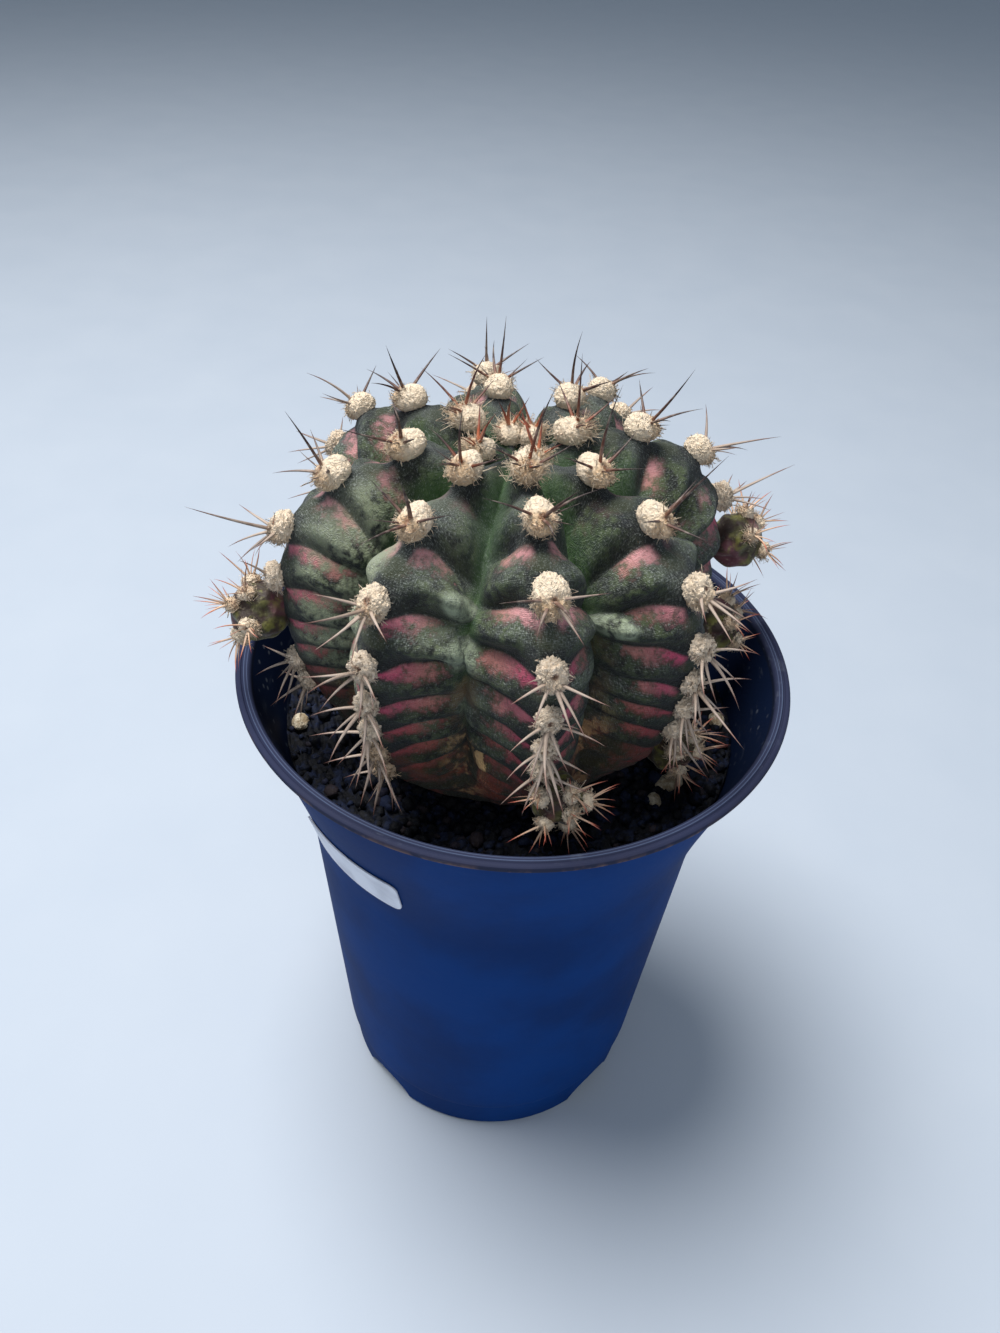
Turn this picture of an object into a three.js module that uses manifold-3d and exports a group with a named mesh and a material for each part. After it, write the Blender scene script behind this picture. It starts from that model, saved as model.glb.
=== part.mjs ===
// A ribbed globe cactus with five offset heads, planted in a tapered nursery pot.
// Millimetres, +Z up. The origin is the centre of the pot's flat underside.
import * as THREE from "three";
import { mergeVertices } from "three/addons/utils/BufferGeometryUtils.js";
import Module from "manifold-3d";

const wasm = await Module();
wasm.setup();

const CLEARANCE = 0.3; // between neighbouring pieces
const DEGREE = Math.PI / 180;

// Pot: a straight taper that flares out to a thin rolled rim
const POT_HEIGHT = 99.2;
const RIM_R = 42.5;
const FOOT_R = 29.4;
const TAPER = 0.0596; // radius gained per millimetre of height
const FLARE = 5.6; // extra radius, if the flare went on to its full height
const FLARE_FROM = 66;
const FLARE_TO = 104;
const WALL = 1.1;
const FLOOR = 1.5; // thickness of the pot's floor
const FOOT_STEP = 0.5; // the foot band is set in by this much
const FOOT_BAND = 8;
const POT_SIDES = 46;
const NOTCHES = 4; // arched drain cut-outs in the foot's edge
const NOTCH_R = 6.2;
const NOTCH_HEIGHT = 4.4;
const NOTCH_TURN = -131.5;
const DRAIN_HOLES = 4;
const DRAIN_R = 3;
const DRAIN_CIRCLE_R = 16;

// Label strip, blank, on the wall under the flare
const LABEL_FROM = -152; // azimuths of its ends
const LABEL_TO = -113.5;
const LABEL_LOW = 71.5;
const LABEL_HIGH = 80.5;
const LABEL_THICK = 0.6;

// Soil
const SOIL_TOP = 86;
const SOIL_SIDES = 48;
const SOIL_RELIEF = 0.9;
const SOCKET_GAP = 0.4;

// Stem: the line of a rib's crest, a flattened dome above an elliptical lower half
const STEM_X = -1.95;
const STEM_Y = -1.3;
const STEM_R = 31.3;
const EQUATOR = 114.2;
const DOME = 20.9; // height of the dome over the equator
const DOME_POWER = 2.9; // 2 would be an ellipse, more is squarer
const UNDERSIDE = 35.2; // depth of the full lower ellipse
const DIMPLE = 1.5; // the crown is sunk by this much
const DIMPLE_R = 6;
const STEM_FOOT = 81; // the stem ends in the soil at this height
const FURROW = 9.5; // depth of the furrows between the ribs
const FURROW_RATIO = 0.34; // of the radius, near the crown
const FLANK_POWER = 1.5;
const FOLD = 1.8; // height of the cross folds where the areoles are widely spaced
const ROLL_DROP = 0.2; // from an areole down to the crease under it, as a share of the gap
const COLUMNS_PER_RIB = 6;

// Ribs: azimuth of each crest, and how far along it from the crown its first areole lies.
// stretch widens the gaps between a rib's areoles, and last is where they end. centrals are
// the long spines that stand out, by the areole's number: upward and sideways shares against
// 1 outward, and the length past the wool.
const RIBS = [
  { azimuth: -78.3, first: 8.8, centrals: { 1: [-0.5, 0.25, 9.4] } },
  {
    azimuth: -39,
    first: 3.6,
    last: 56,
    centrals: { 1: [0, 0.05, 9.8], 2: [-0.1, 0.1, 10.8], 5: [-0.1, -0.4, 9.6] },
  },
  {
    azimuth: 18.5,
    first: 8,
    centrals: { 0: [0, -0.1, 9], 1: [-0.15, -0.35, 8.8], 2: [-0.4, -0.7, 8.8], 3: [0.1, 0, 9.4] },
  },
  {
    azimuth: 59.5,
    first: 4.2,
    centrals: { 1: [0.2, -0.1, 7.4], 2: [0.7, -1.5, 7], 3: [-0.3, -0.1, 7] },
  },
  { azimuth: 103, first: 4, centrals: { 2: [0.6, 0.05, 7] } },
  {
    azimuth: 147.8,
    first: 8,
    centrals: { 1: [0.2, 0.45, 7], 2: [0.05, 0.8, 7], 3: [-0.4, -0.05, 7] },
  },
  {
    azimuth: 199.3,
    first: 4.9,
    centrals: { 1: [-0.1, 0.6, 7], 2: [0.05, 0.1, 8.6], 3: [0, 0.1, 10.4], 4: [0, 0.2, 7.4] },
  },
  {
    azimuth: 240.6,
    first: 11.6,
    stretch: 1.07,
    centrals: { 0: [0, 0.05, 7], 1: [-0.1, 0.2, 8], 2: [-0.15, 0, 11], 3: [0.3, 0.05, 9.4] },
  },
];
const WIDE_SPACING = 9.4; // between areoles near the crown
const TIGHT_SPACING = 4.4; // between the oldest ones
const SPACING_FROM = 27;
const SPACING_TO = 47;
const LAST_AREOLE = 62.5;

// Areoles: wool tufts and spines
const TUFT_R = 2; // half the width of a young one
const OLD_TUFT_R = 1.55;
const TUFT_LONG = 1.14; // up the crest, against its width
const TUFT_TALL = 0.92; // out of the skin
const OLD_FROM = 42;
const ROOT_DROP = 0.3; // of the tuft's radius, from its middle down to the spines' root
const SPINE_R = 0.45;
const SPINE_MARGIN = 0.9; // that a spine's line keeps to the pot's wall and rim
const SOIL_MARGIN = 1.6;
const HEAD_MARGIN = 4.2; // that the stem's spines keep to an offset head
const STEM_MARGIN = 1.2; // that an offset head's spines keep to the stem
// Spines by the areole's distance from the crown: a central one, lifted up the crest by a
// share, and a fan of radials that opens downwards to both sides by the spread, in degrees
const SPINES = [
  { until: 7, central: 4, lift: 0.35, radials: 2, radial: 3, spread: 90, outward: 2.5 },
  { until: 27.2, central: 7, lift: 0.05, radials: 3, radial: 4.4, spread: 95, outward: 0.6 },
  { until: 99, central: 5.5, lift: -0.8, radials: 4, radial: 4.4, spread: 82, outward: 0.7 },
];
const SPINE_VARIES = 0.5; // the most that is added to a spine, as a share of its length

// Offset heads that sprout from the lower areoles
const OFFSETS = [
  { name: "offset_front", azimuth: -72.5, arc: 59, radius: 3.7, lift: 3, seed: 11 },
  { name: "offset_left", azimuth: 197, arc: 46, radius: 4.2, lift: 3.6, seed: 23 },
  { name: "offset_right", azimuth: 18.5, arc: 43, radius: 4.2, lift: 4.2, seed: 37 },
  { name: "offset_right_side", azimuth: 16, arc: 56.5, radius: 4.6, lift: 4.9, seed: 41 },
  { name: "offset_right_front", azimuth: -27, arc: 63, radius: 3.7, lift: 3.9, seed: 59 },
];
const OFFSET_TUFT_R = 1.05;
const OFFSET_RIBS = 5;
const OFFSET_SPINES = 3;
const OFFSET_SPINE_R = 0.33;
const OFFSET_LEAN = 0.45; // how much an offset head turns up from where it sprouts
const OFFSET_TILTS = [66, 48]; // of its areoles from its axis, in turn
const OFFSET_SPREAD = 0.75; // how wide its spines open

// Grit that lies half sunk in the soil: long is its length against its width
const GRIT = [
  { name: "grit_left", x: -33.2, y: -6.9, radius: 1.7, long: 1.15, turn: 100 },
  { name: "grit_right", x: 33.9, y: 0.5, radius: 1.6, long: 1.15, turn: 80 },
  { name: "grit_front", x: 25.4, y: -13.8, radius: 1.8, long: 1.5, turn: 36 },
  { name: "grit_front_small", x: 22.6, y: -18, radius: 1.2, long: 1.2, turn: 110 },
];

const COLOURS = {
  pot: 0x17305c,
  label: 0xd9d8d6,
  soil: 0x0e1420,
  cactus: 0x3f5340,
  offset: 0x54502c,
  grit: 0xc3b8a6,
};

// Small helpers

function clamp01(t) {
  return Math.min(1, Math.max(0, t));
}

function smoothstep(from, to, value) {
  const t = clamp01((value - from) / (to - from));
  return t * t * (3 - 2 * t);
}

function mix(a, b, t) {
  return a + (b - a) * t;
}

// A seeded source of numbers between 0 and 1.
function seeded(seed) {
  let state = seed;
  return () => {
    state = (state * 1664525 + 1013904223) % 4294967296;
    return state / 4294967296;
  };
}

function polar(radius, azimuth, z) {
  const angle = azimuth * DEGREE;
  return new THREE.Vector3(radius * Math.cos(angle), radius * Math.sin(angle), z);
}

function solidOf(geometry) {
  const bare = geometry.clone();
  bare.deleteAttribute("normal");
  bare.deleteAttribute("uv");
  const merged = mergeVertices(bare, 1e-3);
  return new wasm.Manifold(
    new wasm.Mesh({
      numProp: 3,
      vertProperties: new Float32Array(merged.attributes.position.array),
      triVerts: new Uint32Array(merged.index.array),
    }),
  );
}

function geometryOf(solid) {
  const mesh = solid.getMesh();
  const geometry = new THREE.BufferGeometry();
  geometry.setAttribute("position", new THREE.BufferAttribute(mesh.vertProperties, 3));
  geometry.setIndex(new THREE.BufferAttribute(mesh.triVerts, 1));
  geometry.computeVertexNormals();
  return geometry;
}

function meshOf(name, solid, colour, roughness) {
  const material = new THREE.MeshStandardMaterial({ color: colour, roughness, metalness: 0 });
  const mesh = new THREE.Mesh(geometryOf(solid), material);
  mesh.name = name;
  return mesh;
}

// Moves every vertex of a geometry to the place that a function gives for it.
function reshape(geometry, place) {
  const position = geometry.attributes.position;
  const point = new THREE.Vector3();
  for (let i = 0; i < position.count; i++) {
    point.fromBufferAttribute(position, i);
    const moved = place(point);
    position.setXYZ(i, moved.x, moved.y, moved.z);
  }
  return geometry;
}

// A lathe turned about Z from [radius, height] points.
function turned(outline, sides) {
  const points = outline.map(([radius, height]) => new THREE.Vector2(radius, height));
  return new THREE.LatheGeometry(points, sides).rotateX(Math.PI / 2);
}

// Pot

function wallRadius(z) {
  return FOOT_R + TAPER * z + FLARE * smoothstep(FLARE_FROM, FLARE_TO, z);
}

function potOutline() {
  const outside = [66, 72, 78, 86, 95].map((z) => [wallRadius(z), z]);
  const inside = [93, 85, 76, 66].map((z) => [wallRadius(z) - WALL, z]);
  const footTop = wallRadius(FOOT_BAND) - FOOT_STEP;
  return [
    [0, 0],
    [FOOT_R - FOOT_STEP - 0.8, 0],
    [FOOT_R - FOOT_STEP, 0.8],
    [footTop, FOOT_BAND],
    [footTop + FOOT_STEP, FOOT_BAND + FOOT_STEP],
    ...outside,
    [RIM_R - 1.3, POT_HEIGHT - 1.3],
    [RIM_R - 0.1, POT_HEIGHT - 1],
    [RIM_R, POT_HEIGHT - 0.4],
    [RIM_R - 0.4, POT_HEIGHT],
    [RIM_R - 0.9, POT_HEIGHT - 0.25],
    [RIM_R - 1.3, POT_HEIGHT],
    [RIM_R - 2, POT_HEIGHT - 0.25],
    [RIM_R - 2.3, POT_HEIGHT - 0.8],
    [RIM_R - 2.6, POT_HEIGHT - 1.6],
    ...inside,
    [wallRadius(FLOOR) - FOOT_STEP - WALL, FLOOR],
    [0, FLOOR],
  ];
}

function footNotch(azimuth) {
  const reach = 9;
  return new THREE.CylinderGeometry(NOTCH_R, NOTCH_R, reach, 14)
    .rotateZ(Math.PI / 2)
    .translate(FOOT_R - 0.5, 0, NOTCH_HEIGHT - NOTCH_R)
    .rotateZ(azimuth * DEGREE);
}

function drainHole(azimuth) {
  const centre = polar(DRAIN_CIRCLE_R, azimuth, FLOOR / 2);
  return new THREE.CylinderGeometry(DRAIN_R, DRAIN_R, 3 * FLOOR, 12)
    .rotateX(Math.PI / 2)
    .translate(centre.x, centre.y, centre.z);
}

function potSolid() {
  let pot = solidOf(turned(potOutline(), POT_SIDES));
  for (let i = 0; i < NOTCHES; i++) {
    const azimuth = NOTCH_TURN + (360 / NOTCHES) * i;
    pot = pot.subtract(solidOf(footNotch(azimuth)));
  }
  for (let i = 0; i < DRAIN_HOLES; i++) {
    pot = pot.subtract(solidOf(drainHole((360 / DRAIN_HOLES) * i)));
  }
  return pot;
}

// Label strip: a flat slab bent round the wall

function labelSolid() {
  const slab = new THREE.BoxGeometry(1, 1, 1, 7, 2, 1);
  const bent = reshape(slab, (point) => {
    const z = mix(LABEL_LOW, LABEL_HIGH, point.y + 0.5);
    const radius = wallRadius(z) + CLEARANCE + LABEL_THICK * (point.z + 0.5);
    return polar(radius, mix(LABEL_FROM, LABEL_TO, point.x + 0.5), z);
  });
  return solidOf(bent);
}

// Stem: the crest line, sampled once, with its length and its count of areoles

function areoleSpacing(arc) {
  const t = clamp01((arc - SPACING_FROM) / (SPACING_TO - SPACING_FROM));
  return mix(WIDE_SPACING, TIGHT_SPACING, t);
}

function crestSamples() {
  const steps = 400;
  const lowest = Math.asin((EQUATOR - STEM_FOOT) / UNDERSIDE);
  const line = [];
  for (let i = 0; i <= steps; i++) {
    const angle = (Math.PI / 2) * (i / steps);
    const radius = STEM_R * Math.sin(angle) ** (2 / DOME_POWER);
    const rise = DOME * Math.cos(angle) ** (2 / DOME_POWER);
    line.push({ radius, z: EQUATOR + rise - DIMPLE * Math.exp(-((radius / DIMPLE_R) ** 2)) });
  }
  for (let i = 1; i <= steps; i++) {
    const angle = lowest * (i / steps);
    line.push({ radius: STEM_R * Math.cos(angle), z: EQUATOR - UNDERSIDE * Math.sin(angle) });
  }
  line[0].arc = 0;
  line[0].count = 0;
  for (let i = 1; i < line.length; i++) {
    const step = Math.hypot(line[i].radius - line[i - 1].radius, line[i].z - line[i - 1].z);
    line[i].arc = line[i - 1].arc + step;
    line[i].count = line[i - 1].count + step / areoleSpacing(line[i].arc);
  }
  return line;
}

const CREST = crestSamples();
const CREST_END = CREST[CREST.length - 1].arc;
const SOIL_ARC = CREST.find((sample) => sample.arc > STEM_R && sample.z < SOIL_TOP).arc;

// The sample at a given value of one rising field, between its neighbours.
function crestAt(value, field = "arc") {
  let low = 0;
  let high = CREST.length - 1;
  while (high - low > 1) {
    const middle = (low + high) >> 1;
    if (CREST[middle][field] <= value) low = middle;
    else high = middle;
  }
  const a = CREST[low];
  const b = CREST[high];
  const t = clamp01((value - a[field]) / (b[field] - a[field]));
  const length = Math.hypot(b.radius - a.radius, b.z - a.z);
  return {
    radius: mix(a.radius, b.radius, t),
    z: mix(a.z, b.z, t),
    arc: mix(a.arc, b.arc, t),
    count: mix(a.count, b.count, t),
    outR: (a.z - b.z) / length,
    outZ: (b.radius - a.radius) / length,
  };
}

// Which crest an azimuth belongs to, and how far towards the furrow it lies, from 0 to 1.
function nearestRib(azimuth) {
  const count = RIBS.length;
  for (let i = 0; i < count; i++) {
    const next = (i + 1) % count;
    const width = (((RIBS[next].azimuth - RIBS[i].azimuth) % 360) + 360) % 360;
    const from = (((azimuth - RIBS[i].azimuth) % 360) + 360) % 360;
    if (from > width) continue;
    const across = from / (width / 2);
    if (across <= 1) return { rib: RIBS[i], across };
    return { rib: RIBS[next], across: 2 - across };
  }
  throw new Error("no rib at azimuth " + azimuth);
}

function furrowDepth(crest) {
  const full = Math.min(FURROW, FURROW_RATIO * crest.radius);
  return full * (1 - smoothstep(51, 74, crest.arc));
}

// How far the cross folds raise the skin over the plain rib: the crest has a bump at each
// areole, and the flanks have a roll between each one and the next, which climbs as it ages.
function foldRise(crest, rib, across) {
  const sinceFirst = (crest.count - crestAt(rib.first).count) / (rib.stretch ?? 1);
  const bump = Math.cos(2 * Math.PI * (sinceFirst - 0.08));
  const climb = mix(0.06, 0.24, smoothstep(20, 34, crest.arc));
  const roll = -Math.cos(2 * Math.PI * (sinceFirst - ROLL_DROP + climb));
  const wave = mix(bump, roll, smoothstep(0, 0.4, across));
  const reach = smoothstep(4, 11, crest.arc) * (1 - smoothstep(62, 71, crest.arc));
  const height = FOLD * (areoleSpacing(crest.arc) / WIDE_SPACING);
  return height * wave * reach * (1 - across ** 3);
}

function skinPoint(azimuth, arc, rise = 0) {
  const crest = crestAt(arc);
  const { rib, across } = nearestRib(azimuth);
  const sink = furrowDepth(crest) * across ** FLANK_POWER - foldRise(crest, rib, across) - rise;
  const radius = crest.radius - crest.outR * sink;
  const point = polar(radius, azimuth, crest.z - crest.outZ * sink);
  return point.add(new THREE.Vector3(STEM_X, STEM_Y, 0));
}

// Rows follow the areoles, three to each gap between them, and no closer than 2.5 mm.
function rowArcs() {
  const arcs = [0];
  let arc = 1.5;
  while (arc < SOIL_ARC) {
    arcs.push(arc);
    arc += Math.max(2.5, areoleSpacing(arc) / 3);
  }
  arcs.push(mix(SOIL_ARC, CREST_END, 0.45));
  arcs.push(CREST_END);
  return arcs;
}

function columnAzimuth(column) {
  const index = Math.floor(column / COLUMNS_PER_RIB) % RIBS.length;
  const here = RIBS[index].azimuth;
  const next = RIBS[(index + 1) % RIBS.length].azimuth;
  const width = (((next - here) % 360) + 360) % 360;
  return here + (width * (column % COLUMNS_PER_RIB)) / COLUMNS_PER_RIB;
}

// The stem's skin, raised by rise, with a flat foot.
function stemSolid(rise = 0) {
  const arcs = rowArcs();
  const columns = RIBS.length * COLUMNS_PER_RIB;
  const rows = arcs.length;
  const ball = new THREE.SphereGeometry(1, columns, rows).rotateX(Math.PI / 2);
  const skin = reshape(ball, (point) => {
    const row = Math.round((Math.acos(Math.min(1, Math.max(-1, point.z))) / Math.PI) * rows);
    const turn = Math.atan2(point.y, point.x) / (2 * Math.PI);
    const column = Math.round((turn + 1) * columns) % columns;
    if (row < rows) return skinPoint(columnAzimuth(column), arcs[row], rise);
    return new THREE.Vector3(STEM_X, STEM_Y, STEM_FOOT - rise);
  });
  return solidOf(skin);
}

// Areoles: each has a place and a frame of outward, up and sideways directions

function areoleAt(azimuth, arc) {
  const crest = crestAt(arc);
  const out = polar(crest.outR, azimuth, crest.outZ);
  const side = polar(1, azimuth + 90, 0);
  const up = new THREE.Vector3().crossVectors(out, side);
  return { azimuth, arc, place: skinPoint(azimuth, arc), out, side, up };
}

function areolesOf({ azimuth, first, stretch = 1, last = LAST_AREOLE, centrals = {} }) {
  const start = crestAt(first).count;
  const list = [];
  for (let k = 0; ; k++) {
    const { arc } = crestAt(start + k * stretch, "count");
    if (arc > last) return list;
    list.push({ ...areoleAt(azimuth, arc), central: centrals[k] });
  }
}

function offsetSeat(offset) {
  const areole = areoleAt(offset.azimuth, offset.arc);
  return { areole, centre: areole.place.clone().addScaledVector(areole.out, offset.lift) };
}

const OFFSET_SEATS = OFFSETS.map(offsetSeat);

function takenByOffset(areole) {
  return OFFSET_SEATS.some((seat, i) => {
    return seat.centre.distanceTo(areole.place) < OFFSETS[i].radius + TUFT_R + 0.75;
  });
}

// An egg-shaped pad of wool, longest up the crest.
function tuftSolid(place, out, up, radius, sides, rows) {
  const side = new THREE.Vector3().crossVectors(up, out);
  const frame = new THREE.Matrix4().makeBasis(side, up, out);
  const ball = new THREE.SphereGeometry(radius, sides, rows).rotateX(Math.PI / 2);
  const centre = place.clone().addScaledVector(out, radius * 0.28);
  const dome = ball.scale(1, TUFT_LONG, TUFT_TALL).applyMatrix4(frame);
  return solidOf(dome.translate(centre.x, centre.y, centre.z));
}

// A three-sided needle from a root inside its tuft.
function needleSolid(root, direction, length, radius) {
  const cone = new THREE.ConeGeometry(radius, length, 3).translate(0, length / 2, 0);
  const turn = new THREE.Quaternion().setFromUnitVectors(new THREE.Vector3(0, 1, 0), direction);
  return solidOf(cone.applyQuaternion(turn).translate(root.x, root.y, root.z));
}

// Each spine has a direction, in outward, up and sideways shares, and a length.
function spineFan(areole, random) {
  const kind = SPINES.find(({ until }) => areole.arc < until);
  const jitter = (size) => (random() - 0.5) * 2 * size;
  const varied = (length) => length * (1 + SPINE_VARIES * random());
  const [lift, lean, reach] = areole.central ?? [
    kind.lift + jitter(0.2),
    jitter(0.3),
    varied(kind.central),
  ];
  const spines = [{ outward: 1, up: lift, sideways: lean, length: reach }];
  for (let i = 0; i < kind.radials; i++) {
    const angle = mix(-kind.spread, kind.spread, i / (kind.radials - 1)) * DEGREE;
    const turn = angle + jitter(0.15);
    const length = varied(kind.radial);
    spines.push({ outward: kind.outward, up: -Math.cos(turn), sideways: Math.sin(turn), length });
  }
  return spines;
}

function spineDirection(areole, spine) {
  return new THREE.Vector3()
    .addScaledVector(areole.out, spine.outward)
    .addScaledVector(areole.up, spine.up)
    .addScaledVector(areole.side, spine.sideways)
    .normalize();
}

function nearPotOrSoil(point) {
  if (point.z < SOIL_TOP + SOIL_MARGIN) return true;
  const reach = Math.hypot(point.x, point.y) + WALL + SPINE_MARGIN;
  return point.z < POT_HEIGHT + SPINE_MARGIN && reach > wallRadius(point.z);
}

function nearOffset(point) {
  return OFFSET_SEATS.some((seat, i) => {
    return seat.centre.distanceTo(point) < OFFSETS[i].radius + HEAD_MARGIN;
  });
}

// A needle that would meet something is bent up and drawn in until it is clear.
function clearNeedle(root, direction, length, radius, blocked) {
  const heading = direction.clone();
  let reach = length;
  for (let tries = 0; tries < 12; tries++) {
    const samples = [0.5, 0.75, 1].map((t) => root.clone().addScaledVector(heading, reach * t));
    if (!samples.some(blocked)) return needleSolid(root, heading, reach, radius);
    heading.z += 0.14;
    heading.normalize();
    reach *= 0.93;
  }
  return null;
}

function areoleSolids(areole, random) {
  const radius = mix(TUFT_R, OLD_TUFT_R, smoothstep(28, 52, areole.arc));
  const size = areole.arc < 6 ? 0.8 * radius : radius;
  const root = areole.place
    .clone()
    .addScaledVector(areole.out, size * 0.45)
    .addScaledVector(areole.up, -size * ROOT_DROP);
  const rows = areole.arc > OLD_FROM ? 3 : 4;
  const solids = [tuftSolid(areole.place, areole.out, areole.up, size, rows + 2, rows)];
  for (const spine of spineFan(areole, random)) {
    const heading = spineDirection(areole, spine);
    const needle = clearNeedle(root, heading, spine.length + size, SPINE_R, (point) => {
      return nearPotOrSoil(point) || nearOffset(point);
    });
    if (needle) solids.push(needle);
  }
  return solids;
}

function cactusSolid(stem) {
  const random = seeded(7);
  const solids = [stem];
  for (const rib of RIBS) {
    for (const areole of areolesOf(rib)) {
      if (!takenByOffset(areole)) solids.push(...areoleSolids(areole, random));
    }
  }
  return wasm.Manifold.union(solids);
}

// Offset heads: small ribbed globes with their own tufts and spines

function offsetFrame(seat) {
  const axis = seat.areole.out.clone();
  axis.z += OFFSET_LEAN;
  axis.normalize();
  const side = seat.areole.side.clone();
  const front = new THREE.Vector3().crossVectors(axis, side).normalize();
  return { axis, side, front };
}

function offsetDirection(frame, tilt, turn) {
  return new THREE.Vector3()
    .addScaledVector(frame.axis, Math.cos(tilt * DEGREE))
    .addScaledVector(frame.side, Math.sin(tilt * DEGREE) * Math.cos(turn * DEGREE))
    .addScaledVector(frame.front, Math.sin(tilt * DEGREE) * Math.sin(turn * DEGREE));
}

function offsetGlobe(offset, seat, frame) {
  const ball = new THREE.SphereGeometry(1, 2 * OFFSET_RIBS, 6).rotateX(Math.PI / 2);
  const globe = reshape(ball, (point) => {
    const turn = Math.atan2(point.y, point.x);
    const across = Math.hypot(point.x, point.y);
    const radius = offset.radius * (1 - 0.07 * across * (1 - Math.cos(OFFSET_RIBS * turn)));
    return seat.centre
      .clone()
      .addScaledVector(frame.side, point.x * radius)
      .addScaledVector(frame.front, point.y * radius)
      .addScaledVector(frame.axis, point.z * radius);
  });
  return solidOf(globe);
}

// One areole near the top and one on each rib, at a tilt from the axis and a turn about it.
function offsetAreoles() {
  const list = [{ tilt: 12, turn: 40 }];
  for (let i = 0; i < OFFSET_RIBS; i++) {
    list.push({ tilt: OFFSET_TILTS[i % 2], turn: (360 / OFFSET_RIBS) * i });
  }
  return list;
}

function insideStem(point, margin) {
  const x = point.x - STEM_X;
  const y = point.y - STEM_Y;
  const drop = EQUATOR - point.z;
  const shape = Math.sqrt(Math.max(0, 1 - (drop / UNDERSIDE) ** 2));
  return Math.hypot(x, y) < (drop > 0 ? STEM_R * shape : STEM_R) + margin;
}

function offsetSolid(offset, seat, stemKeepout) {
  const random = seeded(offset.seed);
  const frame = offsetFrame(seat);
  const solids = [offsetGlobe(offset, seat, frame)];
  const blocked = (point) => nearPotOrSoil(point) || insideStem(point, STEM_MARGIN);
  for (const { tilt, turn } of offsetAreoles()) {
    const out = offsetDirection(frame, tilt, turn);
    const place = seat.centre.clone().addScaledVector(out, offset.radius);
    const size = OFFSET_TUFT_R * (0.85 + 0.3 * random());
    if (insideStem(place, size + 0.6)) continue;
    const side = new THREE.Vector3().crossVectors(frame.axis, out).normalize();
    const up = new THREE.Vector3().crossVectors(out, side);
    solids.push(tuftSolid(place, out, up, size, 5, 3));
    const root = place.clone().addScaledVector(out, size * 0.3);
    for (let i = 0; i < OFFSET_SPINES; i++) {
      const angle = ((360 * i) / OFFSET_SPINES + 90 + 40 * (random() - 0.5)) * DEGREE;
      const heading = out
        .clone()
        .addScaledVector(side, OFFSET_SPREAD * Math.cos(angle))
        .addScaledVector(up, OFFSET_SPREAD * Math.sin(angle))
        .normalize();
      const length = 3.2 + 1.6 * random() + size;
      const needle = clearNeedle(root, heading, length, OFFSET_SPINE_R, blocked);
      if (needle) solids.push(needle);
    }
  }
  return wasm.Manifold.union(solids).subtract(stemKeepout);
}

// Soil: fills the pot, with crumbly relief on top and a plain socket for the stem

function soilRadius(z) {
  return wallRadius(z) - WALL - CLEARANCE;
}

function socketRadius(z) {
  return STEM_R * Math.sqrt(1 - ((EQUATOR - z) / UNDERSIDE) ** 2) + SOCKET_GAP;
}

function soilOutline() {
  const bottom = FLOOR + CLEARANCE;
  const rings = [35.9, 33.9, 31.4, 28.4, 25.4, 22.4].map((radius) => [radius, SOIL_TOP]);
  const socket = [0, 1.7, 3.4].map((depth) => SOIL_TOP - depth).map((z) => [socketRadius(z), z]);
  return [
    [0, bottom],
    [soilRadius(bottom) - FOOT_STEP, bottom],
    [soilRadius(FOOT_BAND) - FOOT_STEP, FOOT_BAND],
    [soilRadius(FLARE_FROM), FLARE_FROM],
    [soilRadius(76), 76],
    ...rings,
    ...socket,
    [socketRadius(STEM_FOOT), STEM_FOOT - SOCKET_GAP],
    [0, STEM_FOOT - SOCKET_GAP],
  ];
}

// Height of the crumbs over the soil's level.
function crumb(x, y) {
  const coarse = Math.sin(1.7 * x + 0.6 * y) * Math.sin(1.4 * y - 0.9 * x);
  const fine = Math.sin(3.1 * x - 1.3 * y + 2) * Math.sin(2.7 * y + 1.9 * x);
  return 0.6 * SOIL_RELIEF * (coarse + fine);
}

// The socket lies round the stem's own axis, and the rings on top ease over to the pot's.
function soilSolid() {
  const innerR = socketRadius(SOIL_TOP);
  const outerR = soilRadius(SOIL_TOP) - 0.6;
  const block = reshape(turned(soilOutline(), SOIL_SIDES), (point) => {
    const radius = Math.hypot(point.x, point.y);
    if (point.z < STEM_FOOT - 1 || radius > outerR) return point.clone();
    const share = 1 - clamp01((radius - innerR) / (outerR - innerR));
    const moved = new THREE.Vector3(point.x + STEM_X * share, point.y + STEM_Y * share, point.z);
    if (radius > innerR + 0.1) moved.z += crumb(moved.x, moved.y);
    return moved;
  });
  return solidOf(block);
}

// Grit: rough stones, half sunk

function gritSolid({ x, y, radius, long, turn }, swell = 0) {
  const stone = new THREE.DodecahedronGeometry(radius + swell)
    .scale(long, 0.85, 0.7)
    .rotateZ(turn * DEGREE)
    .translate(x, y, SOIL_TOP + 0.5);
  return solidOf(stone);
}

// The whole part

function buildPart() {
  const part = new THREE.Group();
  const stem = stemSolid();
  const keepout = stemSolid(CLEARANCE);
  part.add(meshOf("pot", potSolid(), COLOURS.pot, 0.45));
  part.add(meshOf("label_strip", labelSolid(), COLOURS.label, 0.6));
  const soil = GRIT.reduce(
    (block, grit) => block.subtract(gritSolid(grit, CLEARANCE)),
    soilSolid(),
  );
  part.add(meshOf("soil", soil, COLOURS.soil, 0.95));
  for (const grit of GRIT) {
    part.add(meshOf(grit.name, gritSolid(grit), COLOURS.grit, 0.9));
  }
  part.add(meshOf("cactus", cactusSolid(stem), COLOURS.cactus, 0.6));
  OFFSETS.forEach((offset, i) => {
    const head = offsetSolid(offset, OFFSET_SEATS[i], keepout);
    part.add(meshOf(offset.name, head, COLOURS.offset, 0.6));
  });
  return part;
}

export default buildPart();
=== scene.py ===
import math
import bmesh
import bpy
import numpy as np
from mathutils import Matrix, Vector, noise


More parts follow.
